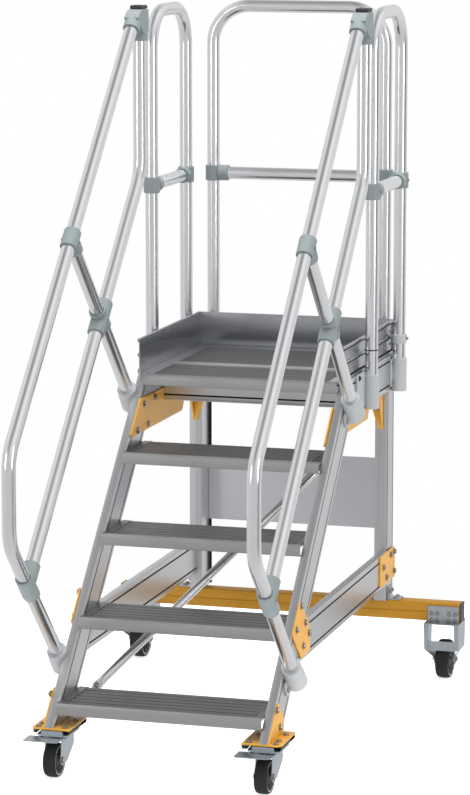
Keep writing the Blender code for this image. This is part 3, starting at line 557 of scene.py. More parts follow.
def tread_outline(front, back, top, lip):
    """The body under the ribs: a rounded nose, the lip with a turned-in foot, and a rear edge."""
    skin, rear = 0.0045, 0.024
    corners = [(front, top - lip), (front, top), (back, top), (back, top - rear), (back - 0.012, top - rear)]
    corners += [(back - 0.012, top - rear + 0.003), (back - 0.003, top - rear + 0.003)]
    corners += [(back - 0.003, top - skin), (front + 0.003, top - skin)]
    corners += [(front + 0.003, top - lip + 0.003), (front + 0.012, top - lip + 0.003)]
    corners += [(front + 0.012, top - lip)]
    radii = [0.0015, 0.004, 0.001] + [0] * 9
    return rounded(corners, radii)


def ribbed_plank(name, front, back, top, lip, ribs, half=TREAD_HALF):
    """A body across the stair, with the ribbed surface between ribs = (front, back) let into its top."""
    floor = top - RIB_HEIGHT
    body = tread_outline(front, back, floor, lip - RIB_HEIGHT)
    shapes = [plate(body, "x", -half, half)]
    band = front + 0.0085
    shapes.append(plate([(front + 0.004, floor - 0.0002), (front + 0.001, floor - 0.0015),
                         (front + 0.0035, top), (band, top), (band, floor - 0.0002)], "x", -half, half))
    piece(name + "_body", shapes, TREAD_BODY, "stair", (name,), bevel=0.0005)
    piece(name + "_ribs", [plate(ribbed_outline(*ribs, top), "x", -RIBBED_HALF, RIBBED_HALF)], TREAD_RIBS)
    count = max(1, round((ribs[1] - ribs[0]) / RIB_PITCH))
    lines = np.linspace(ribs[0], ribs[1], count + 1)[1:-1]
    # Painted shade: a black strip in the bottom of each deep groove between the bands.
    groove_shadows = [box((-RIBBED_HALF, y - 0.0036, floor), (RIBBED_HALF, y + 0.0036, floor + 0.0014))
               for y in lines]
    piece(name + "_grooves", groove_shadows, SHADE_BLACK)


def end_plates(name, front, back, top):
    """A smooth plate at each end of a tread, dark with the painted reflection of the stringer's shade, with a
    bright upright edge on its inner side and a strip of painted shadow beside that edge.
    """
    plates, edges = [], []
    for side in (-1, 1):
        near, far = sorted((side * (RIBBED_HALF + 0.0034), side * TREAD_HALF))
        # The end plates are real; their dark rib colour paints the stringer's reflected shade.
        plates.append(box((near, front + 0.009, top - RIB_HEIGHT - 0.0003), (far, back, top - 0.0004)))
        near, far = sorted((side * (RIBBED_HALF + 0.0019), side * (RIBBED_HALF + 0.0032)))
        edges.append(box((near, front + 0.009, top - RIB_HEIGHT), (far, back, top + 0.0016)))
    piece(name + "_end_plates", plates, TREAD_RIBS, bevel=0.0004)
    piece(name + "_end_edges", edges, PROFILE_Y)
    # Painted shadow: a black strip in the gap beside each upright edge.
    gap_shadows = [box((min(x, x + side * 0.0016), front + 0.009, top - RIB_HEIGHT),
                (max(x, x + side * 0.0016), back, top - 0.0016))
            for side in (-1, 1) for x in [side * (RIBBED_HALF + 0.0002)]]
    piece(name + "_end_gaps", gap_shadows, SHADE_BLACK)


for i in range(1, 5):
    low, high = node_box(f"tread_{i}")
    front, back, top = low[1], high[1], high[2]
    ribbed_plank(f"tread_{i}", front, back, top, top - low[2], (front + 0.0085, back - 0.004))
    end_plates(f"tread_{i}", front, back, top)
low, high = node_box("platform_front_tread")
lip = high[2] - low[2]
ribbed_plank("platform_front_tread", low[1], high[1], high[2], lip, (low[1] + 0.0085, high[1] - 0.004))
low, high = node_box("platform_deck")
SMOOTH_BAND, REAR_STRIP = 0.0590, 0.0450
ribs = (low[1] + SMOOTH_BAND, high[1] - REAR_STRIP)
ribbed_plank("platform_deck", low[1], high[1], high[2], high[2] - low[2], ribs)
bands = [box((-TREAD_HALF, low[1] + 0.001, high[2] - RIB_HEIGHT - 0.0003),
             (TREAD_HALF, ribs[0] - 0.0005, high[2]))]
bands.append(box((-TREAD_HALF, ribs[1] + 0.0005, high[2] - RIB_HEIGHT - 0.0003),
                 (TREAD_HALF, high[1], high[2])))
for side in (-1, 1):
    near, far = sorted((side * (RIBBED_HALF + 0.0005), side * TREAD_HALF))
    bands.append(box((near, LIP_Y + 0.012, high[2] - RIB_HEIGHT - 0.0003), (far, ribs[1], high[2] + 0.0004)))
piece("platform_strips", bands, PROFILE_Y, bevel=0.0004)
print("treads and deck done")

# %% [markdown]
# ## Toe boards
# The boards round the platform are an extrusion with three narrow lips on the outer face. Their
# section is drawn once with small round edges, and carried along each side.

# %% Toe boards
TOE_LOW, TOE_HIGH = node_box("toe_board_right")


def toe_outline(base, top):
    """(outward, up): a thin web with a lip at the bottom, in the middle and at the top."""
    depth, web, lip = TOE_HIGH[0] - TOE_LOW[0], 0.003, 0.008
    corners = [(0, base), (depth, base), (depth, base + lip), (web, base + lip)]
    middle = (base + top) / 2
    corners += [(web, middle), (depth, middle), (depth, middle + lip), (web, middle + lip)]
    corners += [(web, top - lip), (depth, top - lip), (depth, top), (0, top)]
    radii = [0.001, 0.0015, 0.0015, 0.0005, 0.0005, 0.0015, 0.0015, 0.0005, 0.0005, 0.0015, 0.002, 0.0015]
    return rounded(corners, radii, steps=3)


outline = toe_outline(TOE_LOW[2], TOE_HIGH[2])
for word, side in SIDES:
    turned_out = outline * (side, 1) + (side * TOE_LOW[0], 0)
    shape = plate(turned_out, "y", TOE_LOW[1], TOE_HIGH[1])
    piece("toe_board_" + word, [shape], TOE_SKIN, "stair", ("toe_board_" + word,))
middle = (TOE_LOW[2] + TOE_HIGH[2]) / 2
# Painted shade: a black strip in each recess between the lips of the toe boards.
shadow_gaps = []
for word, side in SIDES:
    near, far = sorted((side * (TOE_LOW[0] + 0.003), side * (TOE_HIGH[0] - 0.0012)))
    for z in (TOE_HIGH[2] - 0.0115, middle - 0.0035, TOE_LOW[2] + 0.0081):
        shadow_gaps.append(box((near, TOE_LOW[1] + 0.002, z), (far, TOE_HIGH[1] - 0.002, z + 0.0034)))
piece("toe_board_gaps", shadow_gaps, SHADE_BLACK)
low, high = node_box("toe_board_rear")
shape = plate(outline + (low[1], 0), "x", low[0], high[0])
piece("toe_board_rear", [shape], TOE_SKIN, "stair", ("toe_board_rear",))
places = [(-TOE_HIGH[0] + 0.005, TOE_HIGH[1] - d, TOE_HIGH[2] - h) for d in (0.03, 0.09)
          for h in (0.035, 0.075)]
piece("toe_board_bolts", bolts(places, (-1, 0, 0), 0.0035, 0.003)
      + bolts([(-x, y, z) for x, y, z in places], (1, 0, 0), 0.0035, 0.003), STEEL)


# %% [markdown]
# ## Rear frame
# Two upright box profiles stand on the cross beam at the back, with a sheet panel between them. The
# front face of each post has a groove near its outer edge, and two dark lines of painted shade run up
# its outer face. A black strip of painted shade fills the shaded rear corner between post and panel.

# %% Posts, panel and cross beam
def post_outline(width, depth):
    """Seen from above, (across from the outer face, back from the front face), with a front groove."""
    inset, groove, cut = 0.0245, 0.003, 0.002
    corners = [(0, 0), (inset, 0), (inset, cut), (inset + groove, cut), (inset + groove, 0)]
    corners += [(width, 0), (width, depth), (0, depth)]
    return rounded(corners, [0.003, 0, 0, 0, 0, 0.003, 0.003, 0.003], steps=3)


for word, side in SIDES:
    size = POST_HIGH - POST_LOW
    start = ((side * POST_HIGH[0], POST_LOW[1], POST_LOW[2]), (-side, 0, 0), (0, 1, 0))
    end = ((side * POST_HIGH[0], POST_LOW[1], POST_HIGH[2]), (-side, 0, 0), (0, 1, 0))
    shape = carried(post_outline(size[0], size[1]), start, end)
    piece("rear_post_" + word, [shape], PROFILE_Z, "stair", ("rear_post_" + word,))
    inner = side * POST_LOW[0]
    # Painted shade: a black strip in the shaded inner rear corner of the post, where the panel meets it.
    near, far = sorted((inner, inner - side * 0.0085))
    corner_shade = box((near, POST_HIGH[1] - 0.0026, POST_LOW[2] + 0.005),
                (far, POST_HIGH[1] - 0.0002, POST_HIGH[2] - 0.002))
    piece("post_strip_" + word, [corner_shade], SHADE_BLACK)
    # Painted shade: two dark lines near the front and back edges of the flat outer face.
    near, far = sorted((side * (POST_HIGH[0] - 0.0015), side * (POST_HIGH[0] + 0.0002)))
    lines = [box((near, y, POST_LOW[2] + 0.003), (far, y + 0.0052, POST_HIGH[2] - 0.002))
             for y in (POST_LOW[1] + 0.0032, POST_HIGH[1] - 0.0084)]
    piece("post_lines_" + word, lines, SHADE_BLACK)
PANEL_LOW, PANEL_HIGH = node_box("rear_panel")
middle = (PANEL_LOW[1] + PANEL_HIGH[1]) / 2
panel = [box((PANEL_LOW[0], middle - 0.001, PANEL_LOW[2]), (PANEL_HIGH[0], middle + 0.001, PANEL_HIGH[2]))]
for z in (PANEL_LOW[2], PANEL_HIGH[2] - 0.0015):
    panel.append(box((PANEL_LOW[0], PANEL_LOW[1], z), (PANEL_HIGH[0], PANEL_HIGH[1], z + 0.0015)))
piece("rear_panel", panel, SHEET, "stair", ("rear_panel",), bevel=0.0005)


def beam_outline(depth, height):
    """(back, up) with a shallow groove along the middle of the front face."""
    half, groove, cut = height / 2, 0.0022, 0.0018
    corners = [(0, 0), (depth, 0), (depth, height), (0, height)]
    corners += [(0, half + groove), (cut, half + groove), (cut, half - groove), (0, half - groove)]
    return rounded(corners, [0.004] * 4 + [0.0006] * 4, steps=4)


size = STABILISER_HIGH - STABILISER_LOW
shape = plate(beam_outline(size[1], size[2]) + STABILISER_LOW[1:], "x", STABILISER_LOW[0] + 0.004,
              STABILISER_HIGH[0] - 0.004)
piece("rear_stabiliser_beam", [shape], OCHRE, "stair", ("rear_stabiliser_beam",))
caps = []
for side in (-1, 1):
    near, far = sorted((side * (STABILISER_HIGH[0] - 0.006), side * STABILISER_HIGH[0]))
    caps.append(plate(rounded([(STABILISER_LOW[1], STABILISER_LOW[2]),
                               (STABILISER_HIGH[1], STABILISER_LOW[2]),
                               (STABILISER_HIGH[1], STABILISER_HIGH[2]),
                               (STABILISER_LOW[1], STABILISER_HIGH[2])],
                              0.004), "x", near, far))
piece("stabiliser_caps", caps, BLACK, bevel=0.0015)

# %% [markdown]
# Zinc angles stand on the cross beam against each post, and bolts hold both legs.

# %% Zinc angles at the posts' feet
for word, side in SIDES:
    outer = side * (POST_HIGH[0] + GAP)
    z = STABILISER_HIGH[2] + GAP
    thick = 0.005
    outline = [(outer, z), (outer + side * 0.041, z), (outer + side * 0.041, z + thick)]
    outline += [(outer + side * thick, z + thick), (outer + side * thick, z + 0.041), (outer, z + 0.041)]
    shape = plate(rounded(outline, [0.001, 0.001, 0.001, 0.004, 0.001, 0.001]), "y",
                  STABILISER_LOW[1] + 0.004, STABILISER_HIGH[1] - 0.004)
    piece("post_foot_angle_" + word, [shape], ZINC, bevel=0.0006)
    middle = (STABILISER_LOW[1] + STABILISER_HIGH[1]) / 2
    on_beam = [(outer + side * 0.025, middle + d, z + thick) for d in (-0.013, 0.013)]
    on_post = [(outer + side * thick, middle + d, z + 0.026) for d in (-0.013, 0.013)]
    piece("post_foot_bolts_" + word, bolts(on_beam, (0, 0, 1), 0.0065)
          + bolts(on_post, (side, 0, 0), 0.0065), STEEL)

# %% [markdown]
# ## Handrails
# Each handrail is one bent tube: down beside the stair, round the front, and back to a socket on the
# stringer. A second tube runs between, and a brace crosses it. A tube is a circle carried along a
# path whose corners are arcs, so the bends are as smooth as a mandrel leaves them.

# %% Rail paths
UPPER_LIFT, MID_LIFT, RAIL_BEND = 0.709, 0.3357, 0.110
LEG_ALONG, BRACE_ALONG = 0.188, 4 * LENGTH - 0.0432
FRONT_Y = node_box("handrail_upper_right")[0][1] + TUBE
UPRIGHT_Y = LIP_Y + 0.128
RAIL_TOP = slope_at_y(UPPER_LIFT, UPRIGHT_Y - 0.065)
CONNECTOR_BOTTOM = RAIL_TOP[1] - 0.0325
STRINGER_MIDDLE = -SETBACK - DEPTH / 2
UPPER_PATH = [RAIL_TOP - SLOPE * 2 * GAP, slope_at_y(UPPER_LIFT, FRONT_Y), square_at_y(LEG_ALONG, FRONT_Y)]
UPPER_PATH.append(slope_point(LEG_ALONG, STRINGER_MIDDLE))
MID_PATH = [(UPRIGHT_Y, CONNECTOR_BOTTOM - GAP), slope_at_y(MID_LIFT, UPRIGHT_Y)]
MID_PATH.append(slope_point(LEG_ALONG + TUBE + 2 * GAP, MID_LIFT))
BRACES = {
    "upper": (MID_LIFT + TUBE + 2 * GAP, UPPER_LIFT - TUBE - 2 * GAP),
    "lower": (STRINGER_MIDDLE, MID_LIFT - TUBE - 2 * GAP),
}


def rail(name, corners, x, bend=RAIL_BEND):
    """A bent tube in the plane of x that stands for the frame's tube."""
    flat = rounded(corners, bend, steps=14, closed=False)
    piece(name, [pipe(at_x(x, flat), TUBE, (1, 0, 0))], POLISHED, "stair", (name,), smooth=60)


for word, side in SIDES:
    x = side * RAIL_X
    rail("handrail_upper_" + word, UPPER_PATH, x)
    rail("handrail_mid_" + word, MID_PATH, x)
    for part, lifts in BRACES.items():
        rail(f"handrail_brace_{part}_{word}", [slope_point(BRACE_ALONG, lift) for lift in lifts], x)

# %% [markdown]
# ## Guards
# Three hoops guard the platform: one on each side and one at the back. A middle rail is clamped
# between the legs of each.

# %% Guard hoops
HOOP_TOP = GUARD_HIGH[2] - TUBE
HOOP_FRONT, HOOP_BACK = GUARD_LOW[1] + TUBE, GUARD_HIGH[1] - TUBE
HOOP_BEND = 0.120
REAR_LOW, REAR_HIGH = node_box("guard_loop_rear")
REAR_Y, REAR_HALF = (REAR_LOW[1] + REAR_HIGH[1]) / 2, REAR_HIGH[0] - TUBE
MID_Z = float(np.mean([corner[2] for corner in node_box("guard_mid_rail_right")]))
side_hoop = rounded([(HOOP_FRONT, BEAM_BOTTOM), (HOOP_FRONT, HOOP_TOP), (HOOP_BACK, HOOP_TOP),
                     (HOOP_BACK, BEAM_BOTTOM)], HOOP_BEND, steps=18, closed=False)
for word, side in SIDES:
    x = side * RAIL_X
    name = "guard_loop_" + word
    piece(name, [pipe(at_x(x, side_hoop), TUBE, (1, 0, 0))], POLISHED, "stair", (name,), smooth=60)
    ends = [(x, HOOP_FRONT + TUBE + 2 * GAP, MID_Z), (x, HOOP_BACK - TUBE - 2 * GAP, MID_Z)]
    name = "guard_mid_rail_" + word
    piece(name, [pipe(ends, TUBE, (1, 0, 0))], POLISHED, "stair", (name,), smooth=60)
flat = rounded([(-REAR_HALF, BEAM_BOTTOM), (-REAR_HALF, HOOP_TOP), (REAR_HALF, HOOP_TOP),
                (REAR_HALF, BEAM_BOTTOM)], HOOP_BEND, steps=18, closed=False)
path = np.column_stack([flat[:, 0], np.full(len(flat), REAR_Y), flat[:, 1]])
piece("guard_loop_rear", [pipe(path, TUBE, (0, 1, 0))], POLISHED, "stair", ("guard_loop_rear",),
      smooth=60)
reach = REAR_HALF - TUBE - 2 * GAP
ends = [(-reach, REAR_Y, MID_Z), (reach, REAR_Y, MID_Z)]
piece("guard_mid_rail_rear", [pipe(ends, TUBE, (0, 1, 0))], POLISHED, "stair", ("guard_mid_rail_rear",),
      smooth=60)
print("rails and guards done")

# %% [markdown]
# ## Tube fittings
# Moulded fittings join the tubes. Each is a set of short sleeves round the tubes that meet there,
# slightly fatter than the tube, with a chamfer at every mouth and a clamp bolt.

# %% Fittings on the handrails
SLEEVE_BORE = TUBE + 0.0002


def sleeve_along(point, direction, x, low, high, outer=0.0255, inner=None):
    """A sleeve round a rail, from low to high along a direction from a (y, z) point."""
    point, direction = np.asarray(point), np.asarray(direction)
    start, end = at_x(x, point + direction * low)[0], at_x(x, point + direction * high)[0]
    return collar(start, end, SLEEVE_BORE if inner is None else inner, outer)


def cup(start, end, radius, edge=0.008):
    """A closed boot round the end of a tube: full at its foot, with a rolled rim at its mouth."""
    start, end = np.asarray(start, float), np.asarray(end, float)
    length = np.linalg.norm(end - start)
    profile = [(0, radius - edge), (edge * 0.3, radius - edge * 0.3), (edge, radius)]
    profile += [(length * 0.7, radius * 0.94), (length - 0.004, radius * 0.86),
                (length - 0.0015, radius * 0.88)]
    profile += [(length, radius * 0.86), (length, SLEEVE_BORE)]
    return spun(profile, start, end - start, 36)


UP = np.array((0.0, 1.0))
MEET = slope_point(LEG_ALONG, MID_LIFT)
CROSS = slope_point(BRACE_ALONG, MID_LIFT)
TEE = slope_point(BRACE_ALONG, UPPER_LIFT)
top_outline = [RAIL_TOP - LIFT * 0.0245, (UPRIGHT_Y - 0.0245, CONNECTOR_BOTTOM),
               (UPRIGHT_Y + 0.0245, CONNECTOR_BOTTOM),
               (UPRIGHT_Y + 0.0245, RAIL_TOP[1] + 0.040), (RAIL_TOP[0] + 0.018, RAIL_TOP[1] + 0.040),
               RAIL_TOP + LIFT * 0.0245]
top_outline = rounded(top_outline, [0.003, 0.008, 0.003, 0.010, 0.020, 0.003], steps=5)
cap_outline = rounded([(UPRIGHT_Y - 0.034, RAIL_TOP[1] + 0.0405), (UPRIGHT_Y + 0.022, RAIL_TOP[1] + 0.0405),
                       (UPRIGHT_Y + 0.019, RAIL_TOP[1] + 0.0518),
                       (UPRIGHT_Y - 0.030, RAIL_TOP[1] + 0.0518)], 0.003)
for word, side in SIDES:
    x = side * RAIL_X
    shapes = [plate(top_outline, "x", x - 0.0228, x + 0.0228)]
    shapes.append(sleeve_along(RAIL_TOP, -SLOPE, x, -0.004, 0.028))
    shapes.append(sleeve_along((UPRIGHT_Y, CONNECTOR_BOTTOM), -UP, x, -0.004, 0.024))
    name = "handrail_top_connector_" + word
    piece(name, shapes, FITTING, "stair", (name,), bevel=0.003)
    piece("top_connector_cap_" + word, [plate(cap_outline, "x", x - 0.020, x + 0.020)], BLACK, bevel=0.002)
    shapes = [sleeve_along(CROSS, SLOPE, x, -0.060, 0.060, 0.0262),
              sleeve_along(CROSS, LIFT, x, -0.040, -0.019)]
    shapes.append(sleeve_along(CROSS, LIFT, x, 0.019, 0.040))
    name = "handrail_cross_connector_" + word
    piece(name, shapes, FITTING, "stair", (name,), bevel=0.001)
    shapes = [sleeve_along(TEE, SLOPE, x, -0.032, 0.032), sleeve_along(TEE, LIFT, x, -0.052, -0.019)]
    piece("handrail_tee_" + word, shapes, FITTING, bevel=0.001)
    shapes = [sleeve_along(MEET, LIFT, x, -0.060, 0.034), sleeve_along(MEET, SLOPE, x, 0.012, 0.066)]
    piece("handrail_low_connector_" + word, shapes, FITTING, bevel=0.001)
    marks = [at_x(x + side * 0.0255, CROSS)[0], at_x(x + side * 0.0255, TEE)[0],
             at_x(x + side * 0.0255, MEET)[0]]
    piece("fitting_bolts_" + word, bolts(marks, (side, 0, 0), 0.0045, 0.003), STEEL)
    boots = []
    for along in (LEG_ALONG, BRACE_ALONG):
        foot = at_x(x, slope_point(along, STRINGER_MIDDLE - 0.024))[0]
        boots.append(cup(foot, at_x(x, slope_point(along, STRINGER_MIDDLE + 0.066))[0], 0.0335))
    piece("rail_sockets_" + word, boots, SOCKET)
    flanges, heads = [], []
    for along in (LEG_ALONG, BRACE_ALONG):
        centre = slope_point(along, STRINGER_MIDDLE)
        corners = [centre + SLOPE * a + LIFT * b for a, b in ((-0.050, -0.030), (0.050, -0.030),
                                                              (0.050, 0.030), (-0.050, 0.030))]
        near, far = sorted((side * (OUTER_X + GAP), side * (OUTER_X + 0.0065)))
        flanges.append(plate(rounded(corners, 0.018, steps=6), "x", near, far))
        heads += bolts([at_x(side * (OUTER_X + 0.0065), centre + SLOPE * a)[0] for a in (-0.041, 0.041)],
                       (side, 0, 0), 0.0055)
    piece("socket_flanges_" + word, flanges, SOCKET, bevel=0.0012)
    piece("socket_bolts_" + word, heads, STEEL)

# %% [markdown]
# The hoops stand in sleeves on the side of the platform. Each sleeve has a flange with two bolts,
# and a thin ring marks the joint above the toe board.

# %% Fittings on the guards
for word, side in SIDES:
    x = side * RAIL_X
    connectors, sleeves, rings, heads, black_heads = [], [], [], [], []
    for y, inward in ((HOOP_FRONT, 1), (HOOP_BACK, -1)):
        connectors.append(collar((x, y, MID_Z - 0.025), (x, y, MID_Z + 0.025), SLEEVE_BORE, 0.0255))
        near, far = y + inward * 0.018, y + inward * 0.052
        connectors.append(collar((x, near, MID_Z), (x, far, MID_Z), SLEEVE_BORE, 0.0250))
        heads += bolt((x + side * 0.0255, y, MID_Z), (side, 0, 0), 0.0040, 0.003)
        sleeves.append(collar((x, y, BEAM_BOTTOM), (x, y, BEAM_BOTTOM + 0.103), SLEEVE_BORE, 0.0245))
        sleeves.append(spun([(0, 0.0235), (0.003, 0.0245), (0.006, 0.0245)], (x, y, BEAM_BOTTOM - 0.004),
                            (0, 0, 1), 32))
    near, far = sorted((side * (OUTER_X + GAP), side * (OUTER_X + 0.006)))
    flange = [(HOOP_FRONT - 0.112, BEAM_BOTTOM + 0.012), (HOOP_FRONT, BEAM_BOTTOM + 0.006),
              (HOOP_FRONT, BEAM_BOTTOM + 0.106),
              (HOOP_FRONT - 0.030, BEAM_BOTTOM + 0.114), (HOOP_FRONT - 0.112, BEAM_BOTTOM + 0.114)]
    sleeves.append(plate(rounded(flange, [0.012, 0, 0, 0.008, 0.012]), "x", near, far))
    flange = [(HOOP_BACK - 0.038, BEAM_BOTTOM + 0.012), (HOOP_BACK + 0.030, BEAM_BOTTOM + 0.012),
              (HOOP_BACK + 0.030, BEAM_BOTTOM + 0.098), (HOOP_BACK - 0.038, BEAM_BOTTOM + 0.098)]
    sleeves.append(plate(rounded(flange, 0.010), "x", near, far))
    face = side * (OUTER_X + 0.006)
    places = [(face, HOOP_FRONT - 0.094, BEAM_BOTTOM + up) for up in (0.025, 0.103)]
    black_heads += bolts(places, (side, 0, 0), 0.0065)
    places = [(face, HOOP_BACK - 0.030, BEAM_BOTTOM + up) for up in (0.024, 0.086)]
    heads += bolts(places, (side, 0, 0), 0.0045)
    rings.append(collar((x, HOOP_FRONT, PLATFORM_TOP + 0.065), (x, HOOP_FRONT, PLATFORM_TOP + 0.069),
                        TUBE + 0.0001, 0.0212, 0.0008))
    sleeves.append(collar((x, HOOP_BACK, PLATFORM_TOP + 0.037), (x, HOOP_BACK, PLATFORM_TOP + 0.066),
                          SLEEVE_BORE, 0.0240))
    heads += bolt((x + side * 0.0238, HOOP_BACK, PLATFORM_TOP + 0.052), (side, 0, 0), 0.0045)
    piece("guard_connectors_" + word, connectors, FITTING, bevel=0.0008)
    piece("guard_sleeves_" + word, sleeves, SOCKET, bevel=0.0008)
    piece("guard_rings_" + word, rings, BLACK)
    piece("guard_bolts_" + word, heads, STEEL)
    piece("guard_flange_bolts_" + word, black_heads, BLACK)
connectors, sleeves, heads = [], [], []
for side in (-1, 1):
    x = side * REAR_HALF
    connectors.append(collar((x, REAR_Y, MID_Z - 0.025), (x, REAR_Y, MID_Z + 0.025), SLEEVE_BORE, 0.0255))
    connectors.append(collar((x - side * 0.018, REAR_Y, MID_Z), (x - side * 0.052, REAR_Y, MID_Z),
                             SLEEVE_BORE, 0.0250))
    heads += bolt((x, REAR_Y + 0.0195, BEAM_BOTTOM + 0.03), (0, 1, 0), 0.006)
    heads += bolt((x, REAR_Y + 0.0195, BEAM_BOTTOM + 0.08), (0, 1, 0), 0.006)
piece("guard_connectors_rear", connectors, FITTING, bevel=0.0008)
piece("guard_bolts_rear", heads, STEEL)
print("fittings done")

# %% [markdown]
# ## Brackets
# Bent and stamped plates tie the frame together. Each is an outline in the side's plane, given a
# thickness, with its corners rounded and its bolts in rows. The yellow ones are powder coated.

# %% Yellow brackets
def side_plate(outline, side, x, thick, radius=0.006):
    """A plate in the plane of a side, from x outwards."""
    near, far = sorted((side * x, side * (x + thick)))
    return plate(rounded(outline, radius), "x", near, far)


def side_bolts(places, side, x, size=0.0086, height=0.0075, inward=False):
    """Bolts through such a plate, on its outer or inner face."""
    direction = -side if inward else side
    return bolts([(side * x, y, z) for y, z in places], (direction, 0, 0), size, height)


PLATE = 0.005
GUSSET_LOW, GUSSET_HIGH = node_box("platform_gusset_right")
gusset = [slope_at_z(-0.0224, GUSSET_HIGH[2]), slope_at_z(-0.0224, GUSSET_LOW[2] + 0.008),
          (slope_at_z(-0.0224, GUSSET_LOW[2])[0] + 0.018, GUSSET_LOW[2]),
          (GUSSET_HIGH[1] - 0.017, GUSSET_LOW[2]),
          (GUSSET_HIGH[1], GUSSET_LOW[2] + 0.024), (GUSSET_HIGH[1], GUSSET_HIGH[2])]
gusset_bolts = [(LIP_Y - 0.002, 0.953), (LIP_Y - 0.070, 0.881), (LIP_Y + 0.105, 0.957),
                (LIP_Y + 0.038, 0.883)]
member_bracket = [slope_at_z(-0.026, 0.4845), (0.410, 0.399), (0.420, 0.319), (0.326, 0.3115),
                  slope_at_z(-0.026, 0.400)]
member_bolts = [(0.315, 0.471), (0.265, 0.411), (0.3625, 0.411), (0.402, 0.3715), (0.338, 0.3475)]
post_bracket = [(PLATFORM_END - 0.192, 0.315), (PLATFORM_END, 0.315), (PLATFORM_END, 0.415),
                (PLATFORM_END - 0.192, 0.415)]
post_bolts = [(PLATFORM_END - 0.060, 0.398), (PLATFORM_END - 0.155, 0.376), (PLATFORM_END - 0.115, 0.336),
              (PLATFORM_END - 0.014, 0.337), (PLATFORM_END - 0.014, 0.400)]
for word, side in SIDES:
    inner = GUSSET_LOW[0]
    name = "platform_gusset_" + word
    piece(name, [side_plate(gusset, side, inner, PLATE)], YELLOW, "stair", (name,),
          bevel=0.001)
    piece("gusset_bolts_" + word, side_bolts(gusset_bolts, side, inner, inward=True), STEEL)
    outer = OUTER_X + GAP
    piece("member_bracket_" + word, [side_plate(member_bracket, side, outer, PLATE, 0.010)], YELLOW,
          bevel=0.001)
    piece("member_bracket_bolts_" + word, side_bolts(member_bolts, side, outer + PLATE), STEEL)
    piece("post_bracket_" + word, [side_plate(post_bracket, side, outer, PLATE, 0.008)], YELLOW, bevel=0.001)
    piece("post_bracket_bolts_" + word, side_bolts(post_bolts, side, outer + PLATE), STEEL)
    front, low = POST_LOW[1], BEAM_BOTTOM - 0.122
    fold = INNER_X + 0.005
    web = [(front - 0.060, BEAM_BOTTOM - GAP), (front - GAP, BEAM_BOTTOM - GAP), (front - GAP, low)]
    web_plate = side_plate(web, side, fold, PLATE, 0)
    foot = [(side * (INNER_X - 0.045), BEAM_BOTTOM - GAP), (side * (INNER_X + 0.010), BEAM_BOTTOM - GAP),
            (side * (INNER_X + 0.010), low), (side * (INNER_X - 0.006), low)]
    foot = plate(foot, "y", front - 0.0055, front - GAP)
    piece("post_gusset_" + word, [web_plate, foot], YELLOW, bevel=0.0008)
    heads = bolts([(side * (INNER_X - x), front - 0.0055, BEAM_BOTTOM - d) for x,
                   d in ((0.026, 0.022), (0.006, 0.055))], (0, -1, 0), 0.0065)
    piece("post_gusset_bolts_" + word, heads, STEEL)

# %% [markdown]
# The diagonal brace is a tube whose ends are pressed flat and bolted through. Its section is an
# ellipse whose two half-axes change along the bar while its girth stays about the same.

# %% Diagonal brace
BRACE_HIGH = node_box("diagonal_brace")[1]
BRACE_RADIUS, BRACE_FLAT = 0.0125, 0.045
BRACE_LIFT = -0.1824


def flattened_bar(start, end, radius, flat, thin=0.0030):
    """A round bar that goes over into a flat lug at each end."""
    start, end = np.asarray(start, float), np.asarray(end, float)
    length = np.linalg.norm(end - start)
    heading = (end - start) / length
    square = np.cross(heading, (0.0, LIFT[0], LIFT[1]))
    square /= np.linalg.norm(square)
    out = np.cross(square, heading)
    along = np.concatenate([[0.0, 0.006, 0.012], np.linspace(0.022, flat, 7)])
    along = np.concatenate([along, length - along[::-1]])
    near = np.minimum(along, length - along)
    blend = np.clip((near - 0.022) / (flat - 0.022), 0, 1)
    blend = blend * blend * (3 - 2 * blend)
    tall = thin + (radius - thin) * blend
    wide = 1.35 * radius + (radius - 1.35 * radius) * blend
    wide = wide * np.sqrt(np.clip(near / 0.012, 0.25, 1))
    angle = np.linspace(0, 2 * np.pi, 28, endpoint=False)
    rings = start + along[:, None, None] * heading
    rings = rings + (wide[:, None] * np.cos(angle))[..., None] * square
    rings = rings + (tall[:, None] * np.sin(angle))[..., None] * out
    return stack(rings)


brace_ends = [(-BRACE_HIGH[0] + 0.004, *slope_point(0.180 - 0.018, BRACE_LIFT)),
              (BRACE_HIGH[0] - 0.010, *slope_point(4 * LENGTH - 0.165 - 0.006, BRACE_LIFT))]
piece("diagonal_brace", [flattened_bar(*brace_ends, BRACE_RADIUS, BRACE_FLAT)], POLISHED, "stair",
      ("diagonal_brace",), smooth=60)
outward = (0.0, LIFT[0], LIFT[1])
heads = []
for start, end in (brace_ends, brace_ends[::-1]):
    heading = (np.array(end) - start) / np.linalg.norm(np.array(end) - start)
    heads += bolt(np.array(start) + heading * 0.014 + np.array(outward) * 0.003, outward, 0.0065)
piece("diagonal_brace_bolts", heads, STEEL)
print("brackets and brace done")

# %% [markdown]
# ## Feet of the stringers
# Each stringer ends on a yellow plate with a lug up its outer face. Under it come a black pad, the
# head plate of the castor and the ball race.

# %% Foot plates, pads and heads
def trimmed(outline):
    """The outline without the points that repeat the one before them."""
    return outline[np.linalg.norm(outline - np.roll(outline, 1, axis=0), axis=1) > 1e-5]


